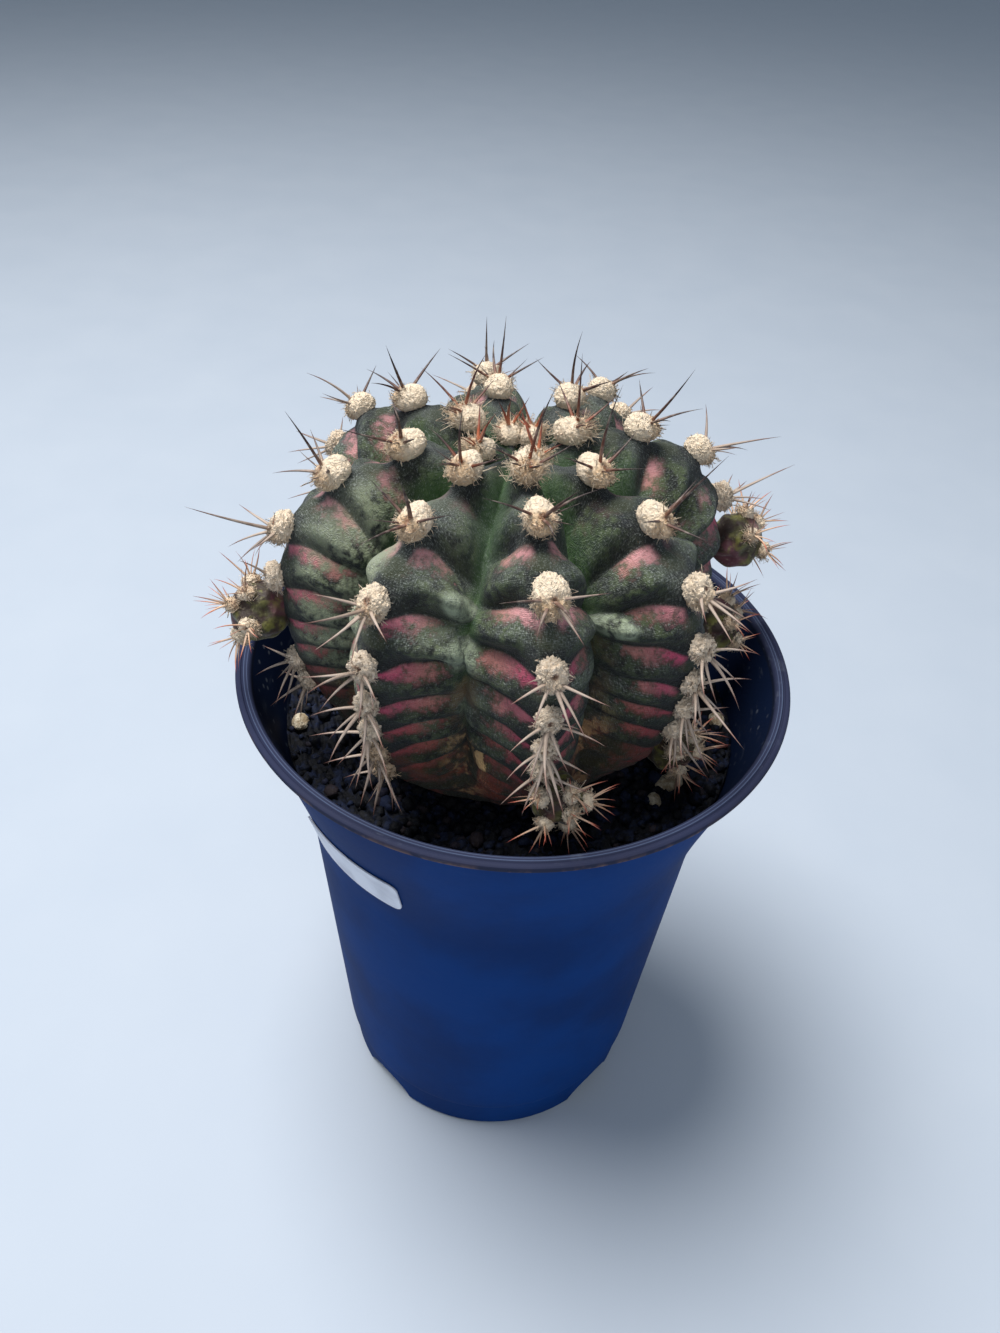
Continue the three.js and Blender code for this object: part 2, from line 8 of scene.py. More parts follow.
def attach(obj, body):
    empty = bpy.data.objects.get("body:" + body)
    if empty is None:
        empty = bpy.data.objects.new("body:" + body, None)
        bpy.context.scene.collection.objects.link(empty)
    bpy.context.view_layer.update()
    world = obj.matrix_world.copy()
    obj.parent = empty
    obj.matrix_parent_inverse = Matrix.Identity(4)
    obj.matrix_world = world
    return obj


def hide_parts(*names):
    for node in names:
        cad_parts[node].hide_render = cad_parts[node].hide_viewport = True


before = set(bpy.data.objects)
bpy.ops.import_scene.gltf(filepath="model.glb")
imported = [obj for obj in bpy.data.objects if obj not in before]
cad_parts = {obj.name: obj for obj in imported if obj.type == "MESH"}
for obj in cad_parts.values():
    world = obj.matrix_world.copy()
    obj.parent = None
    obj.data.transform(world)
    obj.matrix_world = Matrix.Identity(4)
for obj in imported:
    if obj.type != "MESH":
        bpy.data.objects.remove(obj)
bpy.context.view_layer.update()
scene = bpy.context.scene
mm = 0.001  # shapes are worked out in millimetres and scaled to metres as they are finished
print("frame loaded:", len(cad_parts), "solids")


# Numbers and points

def ease(low, high, value):
    t = np.clip((value - low) / (high - low), 0, 1)
    return t * t * (3 - 2 * t)


def mix(a, b, t):
    return a + (b - a) * t


def unit(vectors):
    return vectors / np.linalg.norm(vectors, axis=-1, keepdims=True)


def seeded(seed):
    state = seed

    def draw():
        nonlocal state
        state = (state * 1664525 + 1013904223) % 4294967296
        return state / 4294967296

    return draw


def lumps(points, size, seed=0.0):
    # smooth noise from -1 to 1 at each point, with features about as wide as size
    return np.array([noise.noise(Vector((x / size + seed, y / size - seed, z / size)))
                     for x, y, z in points])


def around(radius, azimuth, z):
    angle = np.radians(azimuth)
    return np.stack([radius * np.cos(angle), radius * np.sin(angle), z + 0 * angle], axis=-1)


def hump(value, width=1.0):
    # 1 where the value is 0, and falling off smoothly to both sides
    return np.exp(-((value / width) ** 2))


def turnFrom(azimuth, middle):
    return (azimuth - middle + 180) % 360 - 180


def swung(x, y, angle):
    return x * np.cos(angle) - y * np.sin(angle), x * np.sin(angle) + y * np.cos(angle)


def table(names, *rows):
    return [dict(zip(names.split(), row)) for row in rows]


def columnsOf(rows, *names):
    return [np.array([row[name] for row in rows]) for name in names]


# Meshes

def pointsOf(mesh, name="co"):
    flat = np.zeros(len(mesh.vertices) * 3)
    mesh.vertices.foreach_get(name, flat)
    return flat.reshape(-1, 3)


def movePoints(mesh, points):
    mesh.vertices.foreach_set("co", np.ascontiguousarray(points, dtype=np.float64).ravel())
    mesh.update()


def meshFrom(bm, name):
    mesh = bpy.data.meshes.new(name)
    bm.to_mesh(mesh)
    bm.free()
    return mesh


def shaped(name, create, **sizes):
    bm = bmesh.new()
    create(bm, **sizes)
    return meshFrom(bm, name)


def shareOut(mesh, repeats=1, **numbers):
    # stores numbers for each vertex under names that the material reads
    for name, values in numbers.items():
        layer = mesh.attributes.new(name, "FLOAT", "POINT")
        layer.data.foreach_set("value", np.repeat(np.ravel(values), repeats).astype(np.float32))


def faceOut(mesh):
    bm = bmesh.new()
    bm.from_mesh(mesh)
    bmesh.ops.recalc_face_normals(bm, faces=bm.faces)
    bm.to_mesh(mesh)
    bm.free()


def added(name, data):
    thing = bpy.data.objects.new(name, data)
    scene.collection.objects.link(thing)
    return thing


def settled(thing):
    # the mesh that an object's modifiers give, without the object
    seen = thing.evaluated_get(bpy.context.evaluated_depsgraph_get())
    mesh = bpy.data.meshes.new_from_object(seen)
    bpy.data.objects.remove(thing)
    return mesh


def repeated(template, count, name):
    # copies of a small mesh, one after the other in the vertex order, and each copy's points
    holder = added(name, template)
    row = holder.modifiers.new("row", "ARRAY")
    row.count = count
    row.use_relative_offset = False
    row.use_merge_vertices = False
    mesh = settled(holder)
    return mesh, pointsOf(mesh).reshape(count, -1, 3)


def place(name, mesh, material, smoothAngle=None):
    # one finished piece: metres, at the origin, on the object's only body
    mesh.transform(Matrix.Scale(mm, 4))
    mesh.polygons.foreach_set("use_smooth", [True] * len(mesh.polygons))
    if smoothAngle is not None:
        mesh.set_sharp_from_angle(angle=math.radians(smoothAngle))
    mesh.materials.append(material)
    piece = added(name, mesh)
    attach(piece, "root")
    return piece


def joined(pieces, name):
    with bpy.context.temp_override(active_object=pieces[0], object=pieces[0],
                                   selected_objects=pieces, selected_editable_objects=pieces):
        bpy.ops.object.join()
    pieces[0].name = name
    return pieces[0]


def cylinder(bm, radius, depth, segments, lie):
    bmesh.ops.create_cone(bm, cap_ends=True, segments=segments, radius1=radius, radius2=radius,
                          depth=depth, matrix=lie)


def bentRods(name, sides, cuts, roots, headings, lengths, radii, bows, taper, flat=1.0):
    # closed rods that run from their roots along their headings, bowed sideways by their rings
    bm = bmesh.new()
    cylinder(bm, 1, 1, sides, Matrix.Translation((0, 0, 0.5)))
    long = [e for e in bm.edges if abs(e.verts[0].co.z - e.verts[1].co.z) > 0.5]
    bmesh.ops.subdivide_edges(bm, edges=long, cuts=cuts)
    mesh, local = repeated(meshFrom(bm, name + "Rod"), len(roots), name)
    t = local[:, :, 2:3]
    up = np.where(np.abs(headings[:, 2:3]) > 0.95, [[1.0, 0, 0]], [[0, 0, 1.0]])
    side = unit(np.cross(headings, up))
    other = np.cross(side, headings)
    width = radii[:, None, None] * taper(t)
    middle = roots[:, None] + headings[:, None] * lengths[:, None, None] * t
    middle = middle + bows[:, None] * (4 * t * (1 - t)) * lengths[:, None, None]
    across = local[:, :, 0:1] * side[:, None] + flat * local[:, :, 1:2] * other[:, None]
    movePoints(mesh, (middle + width * across).reshape(-1, 3))
    shareOut(mesh, along=t)
    return mesh, t.shape[1]


# Materials: numbers in a material, and the nodes that work them out

def operator(operation, reflected=False):
    def result(self, other):
        pair = (other, self) if reflected else (self, other)
        return self.paint.node("ShaderNodeMath", {"operation": operation}, dict(enumerate(pair)))
    return result


class Value:
    def __init__(self, paint, socket):
        self.paint = paint
        self.socket = socket

    __add__, __radd__ = operator("ADD"), operator("ADD", True)
    __sub__, __rsub__ = operator("SUBTRACT"), operator("SUBTRACT", True)
    __mul__, __rmul__ = operator("MULTIPLY"), operator("MULTIPLY", True)
    __truediv__ = operator("DIVIDE")
    turnTo = operator("ARCTAN2")

    def band(self, low, high):
        # 0 below low, 1 above high, eased between them
        return self.paint.node("ShaderNodeMapRange", {"interpolation_type": "SMOOTHSTEP"},
                               {"Value": self, "From Min": low, "From Max": high})

    def fade(self, low, high):
        return 1 - self.band(low, high)


class Paint:
    # one material, as coats over a base: shader holds what is the same all over
    def __init__(self, name, palette, **shader):
        self.palette = palette
        self.material = bpy.data.materials.new(name)
        self.material.use_nodes = True
        self.tree = self.material.node_tree
        self.shader = self.tree.nodes["Principled BSDF"]
        for socket, value in shader.items():
            self.shader.inputs[socket.replace("_", " ")].default_value = value
        self.point = self.node("ShaderNodeTexCoord", output=3)  # Object coordinates

    def node(self, kind, settings=None, values=None, output=0):
        made = self.tree.nodes.new(kind)
        for name, setting in (settings or {}).items():
            if name == "stops":
                self.setStops(made.color_ramp, setting)
            else:
                setattr(made, name, setting)
        for key, value in (values or {}).items():
            if isinstance(value, Value):
                self.tree.links.new(value.socket, made.inputs[key])
            else:
                made.inputs[key].default_value = value
        return Value(self, made.outputs[output])

    def setStops(self, ramp, stops):
        while len(ramp.elements) < len(stops):
            ramp.elements.new(0.5)
        for element, (position, *colour) in zip(ramp.elements, stops):
            element.position = position
            element.color = screen(*colour)

    def read(self, *names):
        found = [self.node("ShaderNodeAttribute", {"attribute_name": name}, output=2)
                 for name in names]
        return found if len(found) > 1 else found[0]

    def stretched(self, scale, vector=None):
        return self.node("ShaderNodeMapping", None,
                         {"Vector": vector or self.point, "Scale": scale})

    def speckle(self, scale, detail=3.0, roughness=0.55, vector=None):
        return self.node("ShaderNodeTexNoise", None, {
            "Vector": vector or self.point, "Scale": scale, "Detail": detail,
            "Roughness": roughness})

    def cells(self, scale):
        return self.node("ShaderNodeTexVoronoi", None, {"Vector": self.point, "Scale": scale})

    def blend(self, factor, *pair):
        # each of the pair is a colour in the material or the name of one in its palette
        a, b = (screen(*self.palette[end]) if isinstance(end, str) else end for end in pair)
        return self.node("ShaderNodeMix", {"data_type": "RGBA"}, {0: factor, 6: a, 7: b},
                         output=2)

    def ramp(self, value, stops):
        return self.node("ShaderNodeValToRGB", {"stops": stops}, {"Fac": value})

    def coat(self, factor, colour):
        self.base = self.blend(factor, self.base, colour)

    def finished(self, roughness, height=None, distance=0.0, strength=1.0):
        wires = {"Base Color": self.base, "Roughness": roughness}
        if height:
            wires["Normal"] = self.node("ShaderNodeBump", None, {
                "Height": height, "Distance": distance, "Strength": strength})
        for name, value in wires.items():
            self.tree.links.new(value.socket, self.shader.inputs[name])
        return self.material


def screen(*parts):
    # a colour as it is seen on screen, in parts from 0 to 255
    linear = [part / 255 / 12.92 if part / 255 <= 0.04045 else ((part / 255 + 0.055) / 1.055) ** 2.4
              for part in parts]
    return (*linear, 1.0)


# Pot: its colours, as all colours here, are seen on screen, in parts from 0 to 255

pot = {
    "height": 99.2,
    "rimRadius": 42.5,
    "footRadius": 29.4,
    "taper": 0.0596,
    "flare": 5.6,
    "flareFrom": 66,
    "flareTo": 104,
    "wall": 1.1,
    "floor": 1.5,
    "footStep": 0.5,
    "footBand": 8,
    "sides": 256,
    "notchRadius": 6.2,
    "notchHeight": 4.4,
    "notchTurn": -131.5,
    "drainRadius": 3,
    "drainCircle": 16,
    # the rolled rim's outline: how far in from its edge and down from its top
    "roll": [(1.3, 1.35), (1, 1.2), (0.35, 1.15), (0.08, 1), (0, 0.75), (0, 0.45), (0.08, 0.2),
             (0.28, 0.04), (0.5, 0), (0.75, 0.04), (0.88, 0.22), (0.98, 0.26), (1.1, 0.18),
             (1.18, 0.07), (1.25, 0.03), (1.32, 0.07), (1.5, 0.1), (1.62, 0.1), (1.7, 0.06),
             (1.78, 0.1), (2, 0.2), (2.2, 0.5), (2.35, 0.9), (2.6, 1.7)],
    "navy": (0, 51, 114),
    "navyDeep": (0, 40, 94),
    "rimSlate": (42, 44, 60),
    "rimHighlight": (94, 108, 136),
    "inside": (14, 21, 38),
    "dust": (112, 120, 132),
    "scuff": (126, 102, 92),
}


def wallRadius(z):
    bulge = pot["flare"] * ease(pot["flareFrom"], pot["flareTo"], z)
    return pot["footRadius"] + pot["taper"] * z + bulge


def wallPoint(z, inward=0.0):
    return float(wallRadius(z)) - inward, z


def potOutline():
    step, band, floor = pot["footStep"], pot["footBand"], pot["floor"]
    heights = [9.5, 20, 35, 50, 60, 66, 69, 72, 75, 78, 81, 84, 87, 90, 92.5, 95, 96.6]
    foot, footTop = pot["footRadius"] - step, wallRadius(band) - step
    outline = [(0, 0), (foot - 0.7, 0), (foot - 0.3, 0.12), (foot, 0.5)]
    outline += [(footTop + out, band + up) for out, up in (
        (-0.04, -1), (0, -0.2), (0.14, 0.1), (step - 0.08, 0.36), (step, 0.6))]
    outline += [wallPoint(z) for z in heights]
    outline += [(pot["rimRadius"] - inward, pot["height"] - down) for inward, down in pot["roll"]]
    outline += [wallPoint(z, pot["wall"]) for z in reversed(heights) if z < 95]
    corner = float(wallRadius(floor)) - step - pot["wall"]
    return outline + [(corner, floor + 0.6), (corner - 0.5, floor), (0, floor)]


def spun(name, outline, sides):
    # turns an outline of radius and height once round the Z axis
    bm = bmesh.new()
    verts = [bm.verts.new((radius, 0, z)) for radius, z in outline]
    edges = [bm.edges.new(pair) for pair in zip(verts, verts[1:])]
    bmesh.ops.spin(bm, geom=verts + edges, axis=(0, 0, 1), cent=(0, 0, 0),
                   angle=2 * math.pi, steps=sides, use_merge=True)
    bmesh.ops.remove_doubles(bm, verts=bm.verts, dist=1e-4)
    bmesh.ops.dissolve_degenerate(bm, edges=bm.edges, dist=1e-5)
    bmesh.ops.recalc_face_normals(bm, faces=bm.faces)
    return meshFrom(bm, name)


def potCutters():
    bm = bmesh.new()
    sunk = Matrix.Translation((pot["footRadius"] - 0.5, 0, pot["notchHeight"] - pot["notchRadius"]))
    for i in range(4):
        turn = Matrix.Rotation(math.radians(pot["notchTurn"] + 90 * i), 4, "Z")
        cylinder(bm, pot["notchRadius"], 9, 64,
                 turn @ sunk @ Matrix.Rotation(math.pi / 2, 4, "Y"))
        hole = around(pot["drainCircle"], 90 * i, pot["floor"] / 2)
        cylinder(bm, pot["drainRadius"], 6, 40, Matrix.Translation(hole))
    return meshFrom(bm, "potCutters")


def cutFrom(mesh, cutterMesh):
    body, cutter = added("cutBody", mesh), added("cutter", cutterMesh)
    cut = body.modifiers.new("cut", "BOOLEAN")
    cut.operation = "DIFFERENCE"
    cut.solver = "EXACT"
    cut.object = cutter
    result = settled(body)
    bpy.data.objects.remove(cutter)
    return result


def potPlastic():
    paint = Paint("navyMouldedPlastic", pot, IOR=1.49, Specular_IOR_Level=0.07)
    height = paint.node("ShaderNodeSeparateXYZ", None, {0: paint.point}, output=2)
    cloudy = paint.speckle(38, 4)
    fine = paint.speckle(900, 2)
    wear = paint.speckle(130, 5, 0.65, paint.stretched((1, 1, 4)))
    rim = height.band(0.0977, 0.0980)
    inside, line, edge = paint.read("inside", "line", "edge")
    paint.base = paint.blend(cloudy.band(0.35, 0.65), "navyDeep", "navy")
    paint.coat(rim * 0.9, "rimSlate")
    # painted highlight: thin pale lines along the rim's grooves
    paint.coat(line * 0.75, "rimHighlight")
    # painted shade: the inside of the pot and the rim's inner bevel are darkened nearly to black
    paint.coat(inside * 0.9, "inside")
    dusty = wear.band(0.58, 0.74) * (0.03 + rim * 0.22 + inside * 0.2)
    paint.coat(dusty, "dust")
    grains = paint.cells(420).fade(0.10, 0.2)
    paint.coat(grains * inside * cloudy.band(0.45, 0.6) * 0.5, "dust")
    paint.coat(edge * paint.speckle(300, 3).band(0.47, 0.62) * 0.65, "scuff")
    return paint.finished(0.56 + cloudy * 0.12 + dusty * 0.4 + fine * 0.06,
                          fine * 0.5 + wear * 0.6 + cloudy * 2.0, 0.00004, 0.6)


def makePot():
    mesh = cutFrom(spun("pot", potOutline(), pot["sides"]), potCutters())
    x, y, z = pointsOf(mesh).T
    radius = np.hypot(x, y)
    fromRim = pot["rimRadius"] - radius
    # the inner wall and the rim's inner bevel, where the painted shade goes
    inner = ease(-0.75, -0.85, radius - wallRadius(z)) * (z < 96.4)
    lip = (fromRim > 2.32) * (z > 96.7)
    low = hump(z - (pot["height"] - 0.95), 0.42)
    # two thin rings on the rim's top, where the painted highlight goes
    highlightLines = hump(fromRim - 1.25, 0.05) + 0.7 * hump(fromRim - 1.7, 0.05)
    shareOut(mesh, inside=np.maximum(inner, lip), edge=low * (fromRim < 0.7),
             line=highlightLines * (z > pot["height"] - 0.15))
    piece = place("pot_shell", mesh, potPlastic(), 32)
    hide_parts("pot")
    print("pot done:", len(mesh.polygons), "faces")


# Label strip

label = {
    "from": -145,
    "to": -113.5,
    "low": 72.5,
    "high": 80.5,
    "gap": 0.1,
    "thick": 0.3,
    "corner": 1.6,
    "raised": (0.5, 0.3),  # at its left and right ends
    "white": (222, 226, 238),
    "worn": (196, 200, 212),
    "fibre": (225, 226, 230),
}


def labelPaper():
    paint = Paint("blankLabel", label, Specular_IOR_Level=0.35)
    fibres = paint.speckle(700, 4, 0.6, paint.stretched((1, 1, 3)))
    smudge = paint.speckle(160, 3)
    paint.base = paint.blend(smudge.band(0.42, 0.72), "white", "worn")
    paint.coat(fibres.band(0.5, 0.75) * 0.35, "fibre")
    return paint.finished(0.42 + smudge * 0.2, fibres, 0.00005, 0.5)


def rounded(bm, edges, offset, segments):
    bmesh.ops.bevel(bm, geom=edges, offset=offset, offset_type="OFFSET", affect="EDGES",
                    segments=segments, profile=0.5, material=-1)


def makeLabel():
    long = math.radians(label["to"] - label["from"]) * float(wallRadius(76))
    tall = label["high"] - label["low"]
    bm = bmesh.new()
    bmesh.ops.create_cube(bm, size=1)
    bmesh.ops.scale(bm, verts=bm.verts, vec=(long, tall, label["thick"]))
    upright = [e for e in bm.edges if abs(e.verts[0].co.z - e.verts[1].co.z) > 0.1]
    rounded(bm, upright, label["corner"], 6)
    for size, across, cuts in ((long, Vector((1, 0, 0)), 48), (tall, Vector((0, 1, 0)), 10)):
        for i in range(1, cuts):
            bmesh.ops.bisect_plane(bm, geom=bm.verts[:] + bm.edges[:] + bm.faces[:],
                                   plane_co=across * (i / cuts - 0.5) * size, plane_no=across)
    rounded(bm, [e for e in bm.edges if e.calc_face_angle(0) > 1], 0.08, 2)
    mesh = meshFrom(bm, "label")
    x, y, lift = pointsOf(mesh).T
    z = mix(label["low"], label["high"], y / tall + 0.5) + mix(*label["raised"], x / long + 0.5)
    radius = wallRadius(z) + label["gap"] + lift + label["thick"] / 2
    movePoints(mesh, around(radius, mix(label["from"], label["to"], x / long + 0.5), z))
    faceOut(mesh)
    piece = place("blank_label", mesh, labelPaper(), 40)
    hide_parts("label_strip")
    print("label done")


# Stem: the same crest line, ribs and folds as the solid's, on a finer skin

stem = {
    "x": -1.95,
    "y": -1.3,
    "radius": 31.3,
    "equator": 114.2,
    "dome": 20.9,
    "domePower": 2.9,
    "underside": 35.2,
    "dimple": 1.5,
    "dimpleRadius": 6,
    "foot": 81,
    "furrow": 9.5,
    "furrowRatio": 0.34,
    "flankPower": 1.5,
    "fold": 1.8,
    "wideSpacing": 9.4,
    "tightSpacing": 4.4,
    "spacingFrom": 27,
    "spacingTo": 47,
    "columnsPerRib": 48,
    "rows": 200,
    "fineFlankPower": 1.9,
    "chin": 0.5,  # height of the chin under each areole
    # bumps in the furrows: azimuth, arc, radius and height
    "beads": [(-101.5, 29, 1.8, 1.7), (-99.6, 37.3, 2.3, 2.1), (-98, 48.2, 1.6, 1.1),
              (-56.5, 34, 1.9, 4.6)],
    "filled": 3.2,  # how far the left front furrow is filled up
    "valley": 1.8,  # how much deeper the other furrows are cut
    "paleSide": -133,  # azimuth of the pale flanks
    "scar": (-93.5, 57),  # azimuth and arc of the corky scar
}
# crests round the stem, with where their areoles begin and end and how much wider they are
# spaced; plump is the areole with the fullest wool; centrals are the long spines that stand
# out, by the areole's number, as upward and sideways shares against 1 outward, and the length
# past the wool
ribs = table(
    "azimuth first last stretch plump centrals",
    (-78.3, 8.8, 62.5, 1, 2, {1: (-0.5, 0.25, 9.4)}),
    (-39, 3.6, 56, 1, None, {1: (0, 0.05, 9.8), 2: (-0.1, 0.1, 10.8), 5: (-0.1, -0.4, 9.6)}),
    (18.5, 8, 62.5, 1, None, {0: (0, -0.1, 9), 1: (-0.15, -0.35, 8.8), 2: (-0.4, -0.7, 8.8),
                              3: (0.1, 0, 9.4)}),
    (59.5, 4.2, 62.5, 1, None, {1: (0.2, -0.1, 7.4), 2: (0.7, -1.5, 7), 3: (-0.3, -0.1, 7)}),
    (103, 4, 62.5, 1, None, {2: (0.6, 0.05, 7)}),
    (147.8, 8, 62.5, 1, None, {1: (0.2, 0.45, 7), 2: (0.05, 0.8, 7), 3: (-0.4, -0.05, 7)}),
    (199.3, 4.9, 62.5, 1, None, {1: (-0.1, 0.6, 7), 2: (0.05, 0.1, 8.6), 3: (0, 0.1, 10.4),
                                 4: (0, 0.2, 7.4)}),
    (240.6, 11.6, 62.5, 1.07, None, {0: (0, 0.05, 7), 1: (-0.1, 0.2, 8), 2: (-0.15, 0, 11),
                                     3: (0.3, 0.05, 9.4)}))
crestAzimuths, firstArcs, stretches = columnsOf(ribs, "azimuth", "first", "stretch")
skinColours = {
    "ridge": (28, 36, 22),
    "ridgeDeep": (10, 14, 12),
    "ridgeGreen": (78, 91, 56),
    "crown": (6, 10, 19),
    # near black of the painted shade under the rolls and round the wool
    "paintedShade": (8, 11, 8),
    "frostAndSheen": (158, 166, 160),
    "paleHair": (214, 222, 216),
    "pale": (160, 168, 138),
    "paleBump": (156, 168, 142),
    "roseLight": (206, 146, 148),
    "roseWarm": (184, 132, 114),
    "rose": (180, 100, 110),
    "roseOld": (140, 66, 58),
    "magenta": (198, 68, 108),
    "chin": (62, 68, 44),
    "youngGreen": (58, 92, 42),
    "valley": (60, 98, 40),
    "tan": (118, 88, 60),
    "cork": (196, 160, 112),
    "oldSkin": (52, 46, 28),
    "oldRed": (124, 54, 42),
}


def areoleSpacing(arc):
    t = np.clip((arc - stem["spacingFrom"]) / (stem["spacingTo"] - stem["spacingFrom"]), 0, 1)
    return mix(stem["wideSpacing"], stem["tightSpacing"], t)


def crestTable():
    steps = 400
    angle = np.linspace(0, math.pi / 2, steps + 1)
    radius = stem["radius"] * np.sin(angle) ** (2 / stem["domePower"])
    rise = stem["dome"] * np.clip(np.cos(angle), 0, 1) ** (2 / stem["domePower"])
    dip = stem["dimple"] * np.exp(-((radius / stem["dimpleRadius"]) ** 2))
    lowest = math.asin((stem["equator"] - stem["foot"]) / stem["underside"])
    under = lowest * np.arange(1, steps + 1) / steps
    radius = np.concatenate([radius, stem["radius"] * np.cos(under)])
    z = np.concatenate([stem["equator"] + rise - dip,
                        stem["equator"] - stem["underside"] * np.sin(under)])
    step = np.hypot(np.diff(radius), np.diff(z))
    arc = np.concatenate([[0], np.cumsum(step)])
    count = np.concatenate([[0], np.cumsum(step / areoleSpacing(arc[1:]))])
    outR = -np.gradient(z, arc)
    outZ = np.gradient(radius, arc)
    return {"radius": radius, "z": z, "arc": arc, "count": count, "outR": outR, "outZ": outZ}


crest = crestTable()


def crestAt(value, by="arc"):
    return {name: np.interp(value, crest[by], column) for name, column in crest.items()}


firstCounts = crestAt(firstArcs)["count"]


def ribAt(azimuth):
    # the nearest crest, how far towards the furrow from 0 to 1, which furrow, and its half width
    turn = (azimuth - crestAzimuths[0]) % 360
    starts = np.append((crestAzimuths - crestAzimuths[0]) % 360, 360.0)
    gap = np.clip(np.searchsorted(starts, turn, side="right") - 1, 0, len(ribs) - 1)
    half = (starts[gap + 1] - starts[gap]) / 2
    across = (turn - starts[gap]) / half
    rib = np.where(across <= 1, gap, (gap + 1) % len(ribs))
    return rib, np.where(across <= 1, across, 2 - across), gap, half


def rollWave(phase):
    # from a sharp crease at 0 up a gentle slope to a broad roll, and steeply down to the next
    turn = 2 * math.pi * (phase - 0.5)
    skewed = np.cos(turn - 0.38 * (1 + np.cos(turn)))
    return 2 * (0.5 + 0.5 * skewed) ** 0.62 - 1


def skin(azimuth, arc, fine=True):
    # points of the skin, and the numbers that its colours follow
    at = crestAt(arc)
    rib, across, gap, half = ribAt(azimuth)
    spacing = areoleSpacing(arc) / stem["wideSpacing"]
    since = (at["count"] - firstCounts[rib]) / stretches[rib]
    furrow = np.minimum(stem["furrow"], stem["furrowRatio"] * at["radius"])
    furrow = furrow * (1 - ease(51, 74, arc))
    reach = ease(4, 11, arc) * (1 - ease(62, 71, arc))
    climb = mix(0.06, 0.24, ease(20, 34, arc))  # of the creases along a flank
    onFlank = ease(0, 0.4, across)
    numbers = {}
    if fine:
        flank = np.radians(half) * at["radius"]
        fromCrest, toFurrow = across * flank, (1 - across) * flank
        leftFront, left = gap == len(ribs) - 1, gap == len(ribs) - 2
        level = around(at["radius"], azimuth, at["z"])
        wander = 0.08 * lumps(level, 9, 3.1) + 0.05 * lumps(level, 3.2, 1.2)
        # each crease passes just under the wool on the ridge and climbs along the flank
        phase = since - 0.2 + (climb + wander) * onFlank
        wave = rollWave(phase) * (0.28 + 0.82 * ease(0.1, 0.55, across)) * np.where(left, 0.7, 1)
        # the wool sits on a pad of its own
        nearest = (since - np.rint(since)) * areoleSpacing(arc)
        pad = hump(nearest + 0.3, 2.3) * hump(fromCrest, 2.3)
        wave = mix(wave, 0.86, pad * (np.rint(since) >= 0))
        fold = stem["fold"] * spacing * wave * reach * (1 - across ** 6)
        chain, raised = 0, 0
        for spot, spotArc, size, tall in stem["beads"]:
            aside = np.radians(turnFrom(azimuth, spot)) * at["radius"]
            bead = hump(aside, size) * hump(arc - spotArc, 1.25 * size)
            chain, raised = chain + bead, raised + tall * bead
        filled = hump(toFurrow, 3.2) * leftFront * ease(24, 31, arc) * (1 - ease(54, 61, arc))
        valley = hump(toFurrow, 1.3) * ~leftFront * ease(7, 14, arc) * (1 - ease(40, 56, arc))
        aside = np.radians(turnFrom(azimuth, stem["scar"][0])) * at["radius"]
        scar = hump(aside) * hump(arc - stem["scar"][1] - aside, 2.0)
        chin = hump(since % 1 - 0.52, 0.16) * hump(fromCrest, 2.1) * ease(9, 14, arc)
        chin = chin * (since > 0)
        extra = raised + stem["chin"] * spacing * chin + 0.7 * scar
        extra = extra + stem["filled"] * filled - stem["valley"] * valley
        extra = extra + 0.4 * lumps(level, 4.4, 7.7) * ease(8, 16, arc) * (0.4 + 0.6 * spacing)
        extra = extra + 0.12 * lumps(level, 1.5, 1.3) + 0.2 * scar * lumps(level, 0.8, 4.1)
        ripple = np.sin(2 * math.pi * (at["z"] / 1.5 + 0.7 * lumps(level, 8, 5.5)))
        extra = extra + 0.16 * ripple * ease(56, 64, arc)
        onLeft = np.where(left, ease(0.06, 0.35, across), ease(0.3, 0.75, across))
        pale = hump(turnFrom(azimuth, stem["paleSide"]), 22) * onLeft
        pale = pale * ease(14, 22, arc) * (1 - ease(46, 58, arc))
        numbers = {"across": across, "depth": arc, "chain": chain, "chin": chin, "pad": pad,
                   "creaseCos": np.cos(2 * math.pi * phase), "scar": scar, "pale": pale,
                   "creaseSin": np.sin(2 * math.pi * phase), "fromCrest": fromCrest}
        sink = furrow * across ** stem["fineFlankPower"] - fold - extra
    else:
        bump = np.cos(2 * math.pi * (since - 0.08))
        wave = mix(bump, -np.cos(2 * math.pi * (since - 0.2 + climb)), onFlank)
        fold = stem["fold"] * spacing * wave * reach * (1 - across ** 3)
        sink = furrow * across ** stem["flankPower"] - fold
    radius = at["radius"] - at["outR"] * sink
    points = around(radius, azimuth, at["z"] - at["outZ"] * sink)
    return points + [stem["x"], stem["y"], 0], numbers


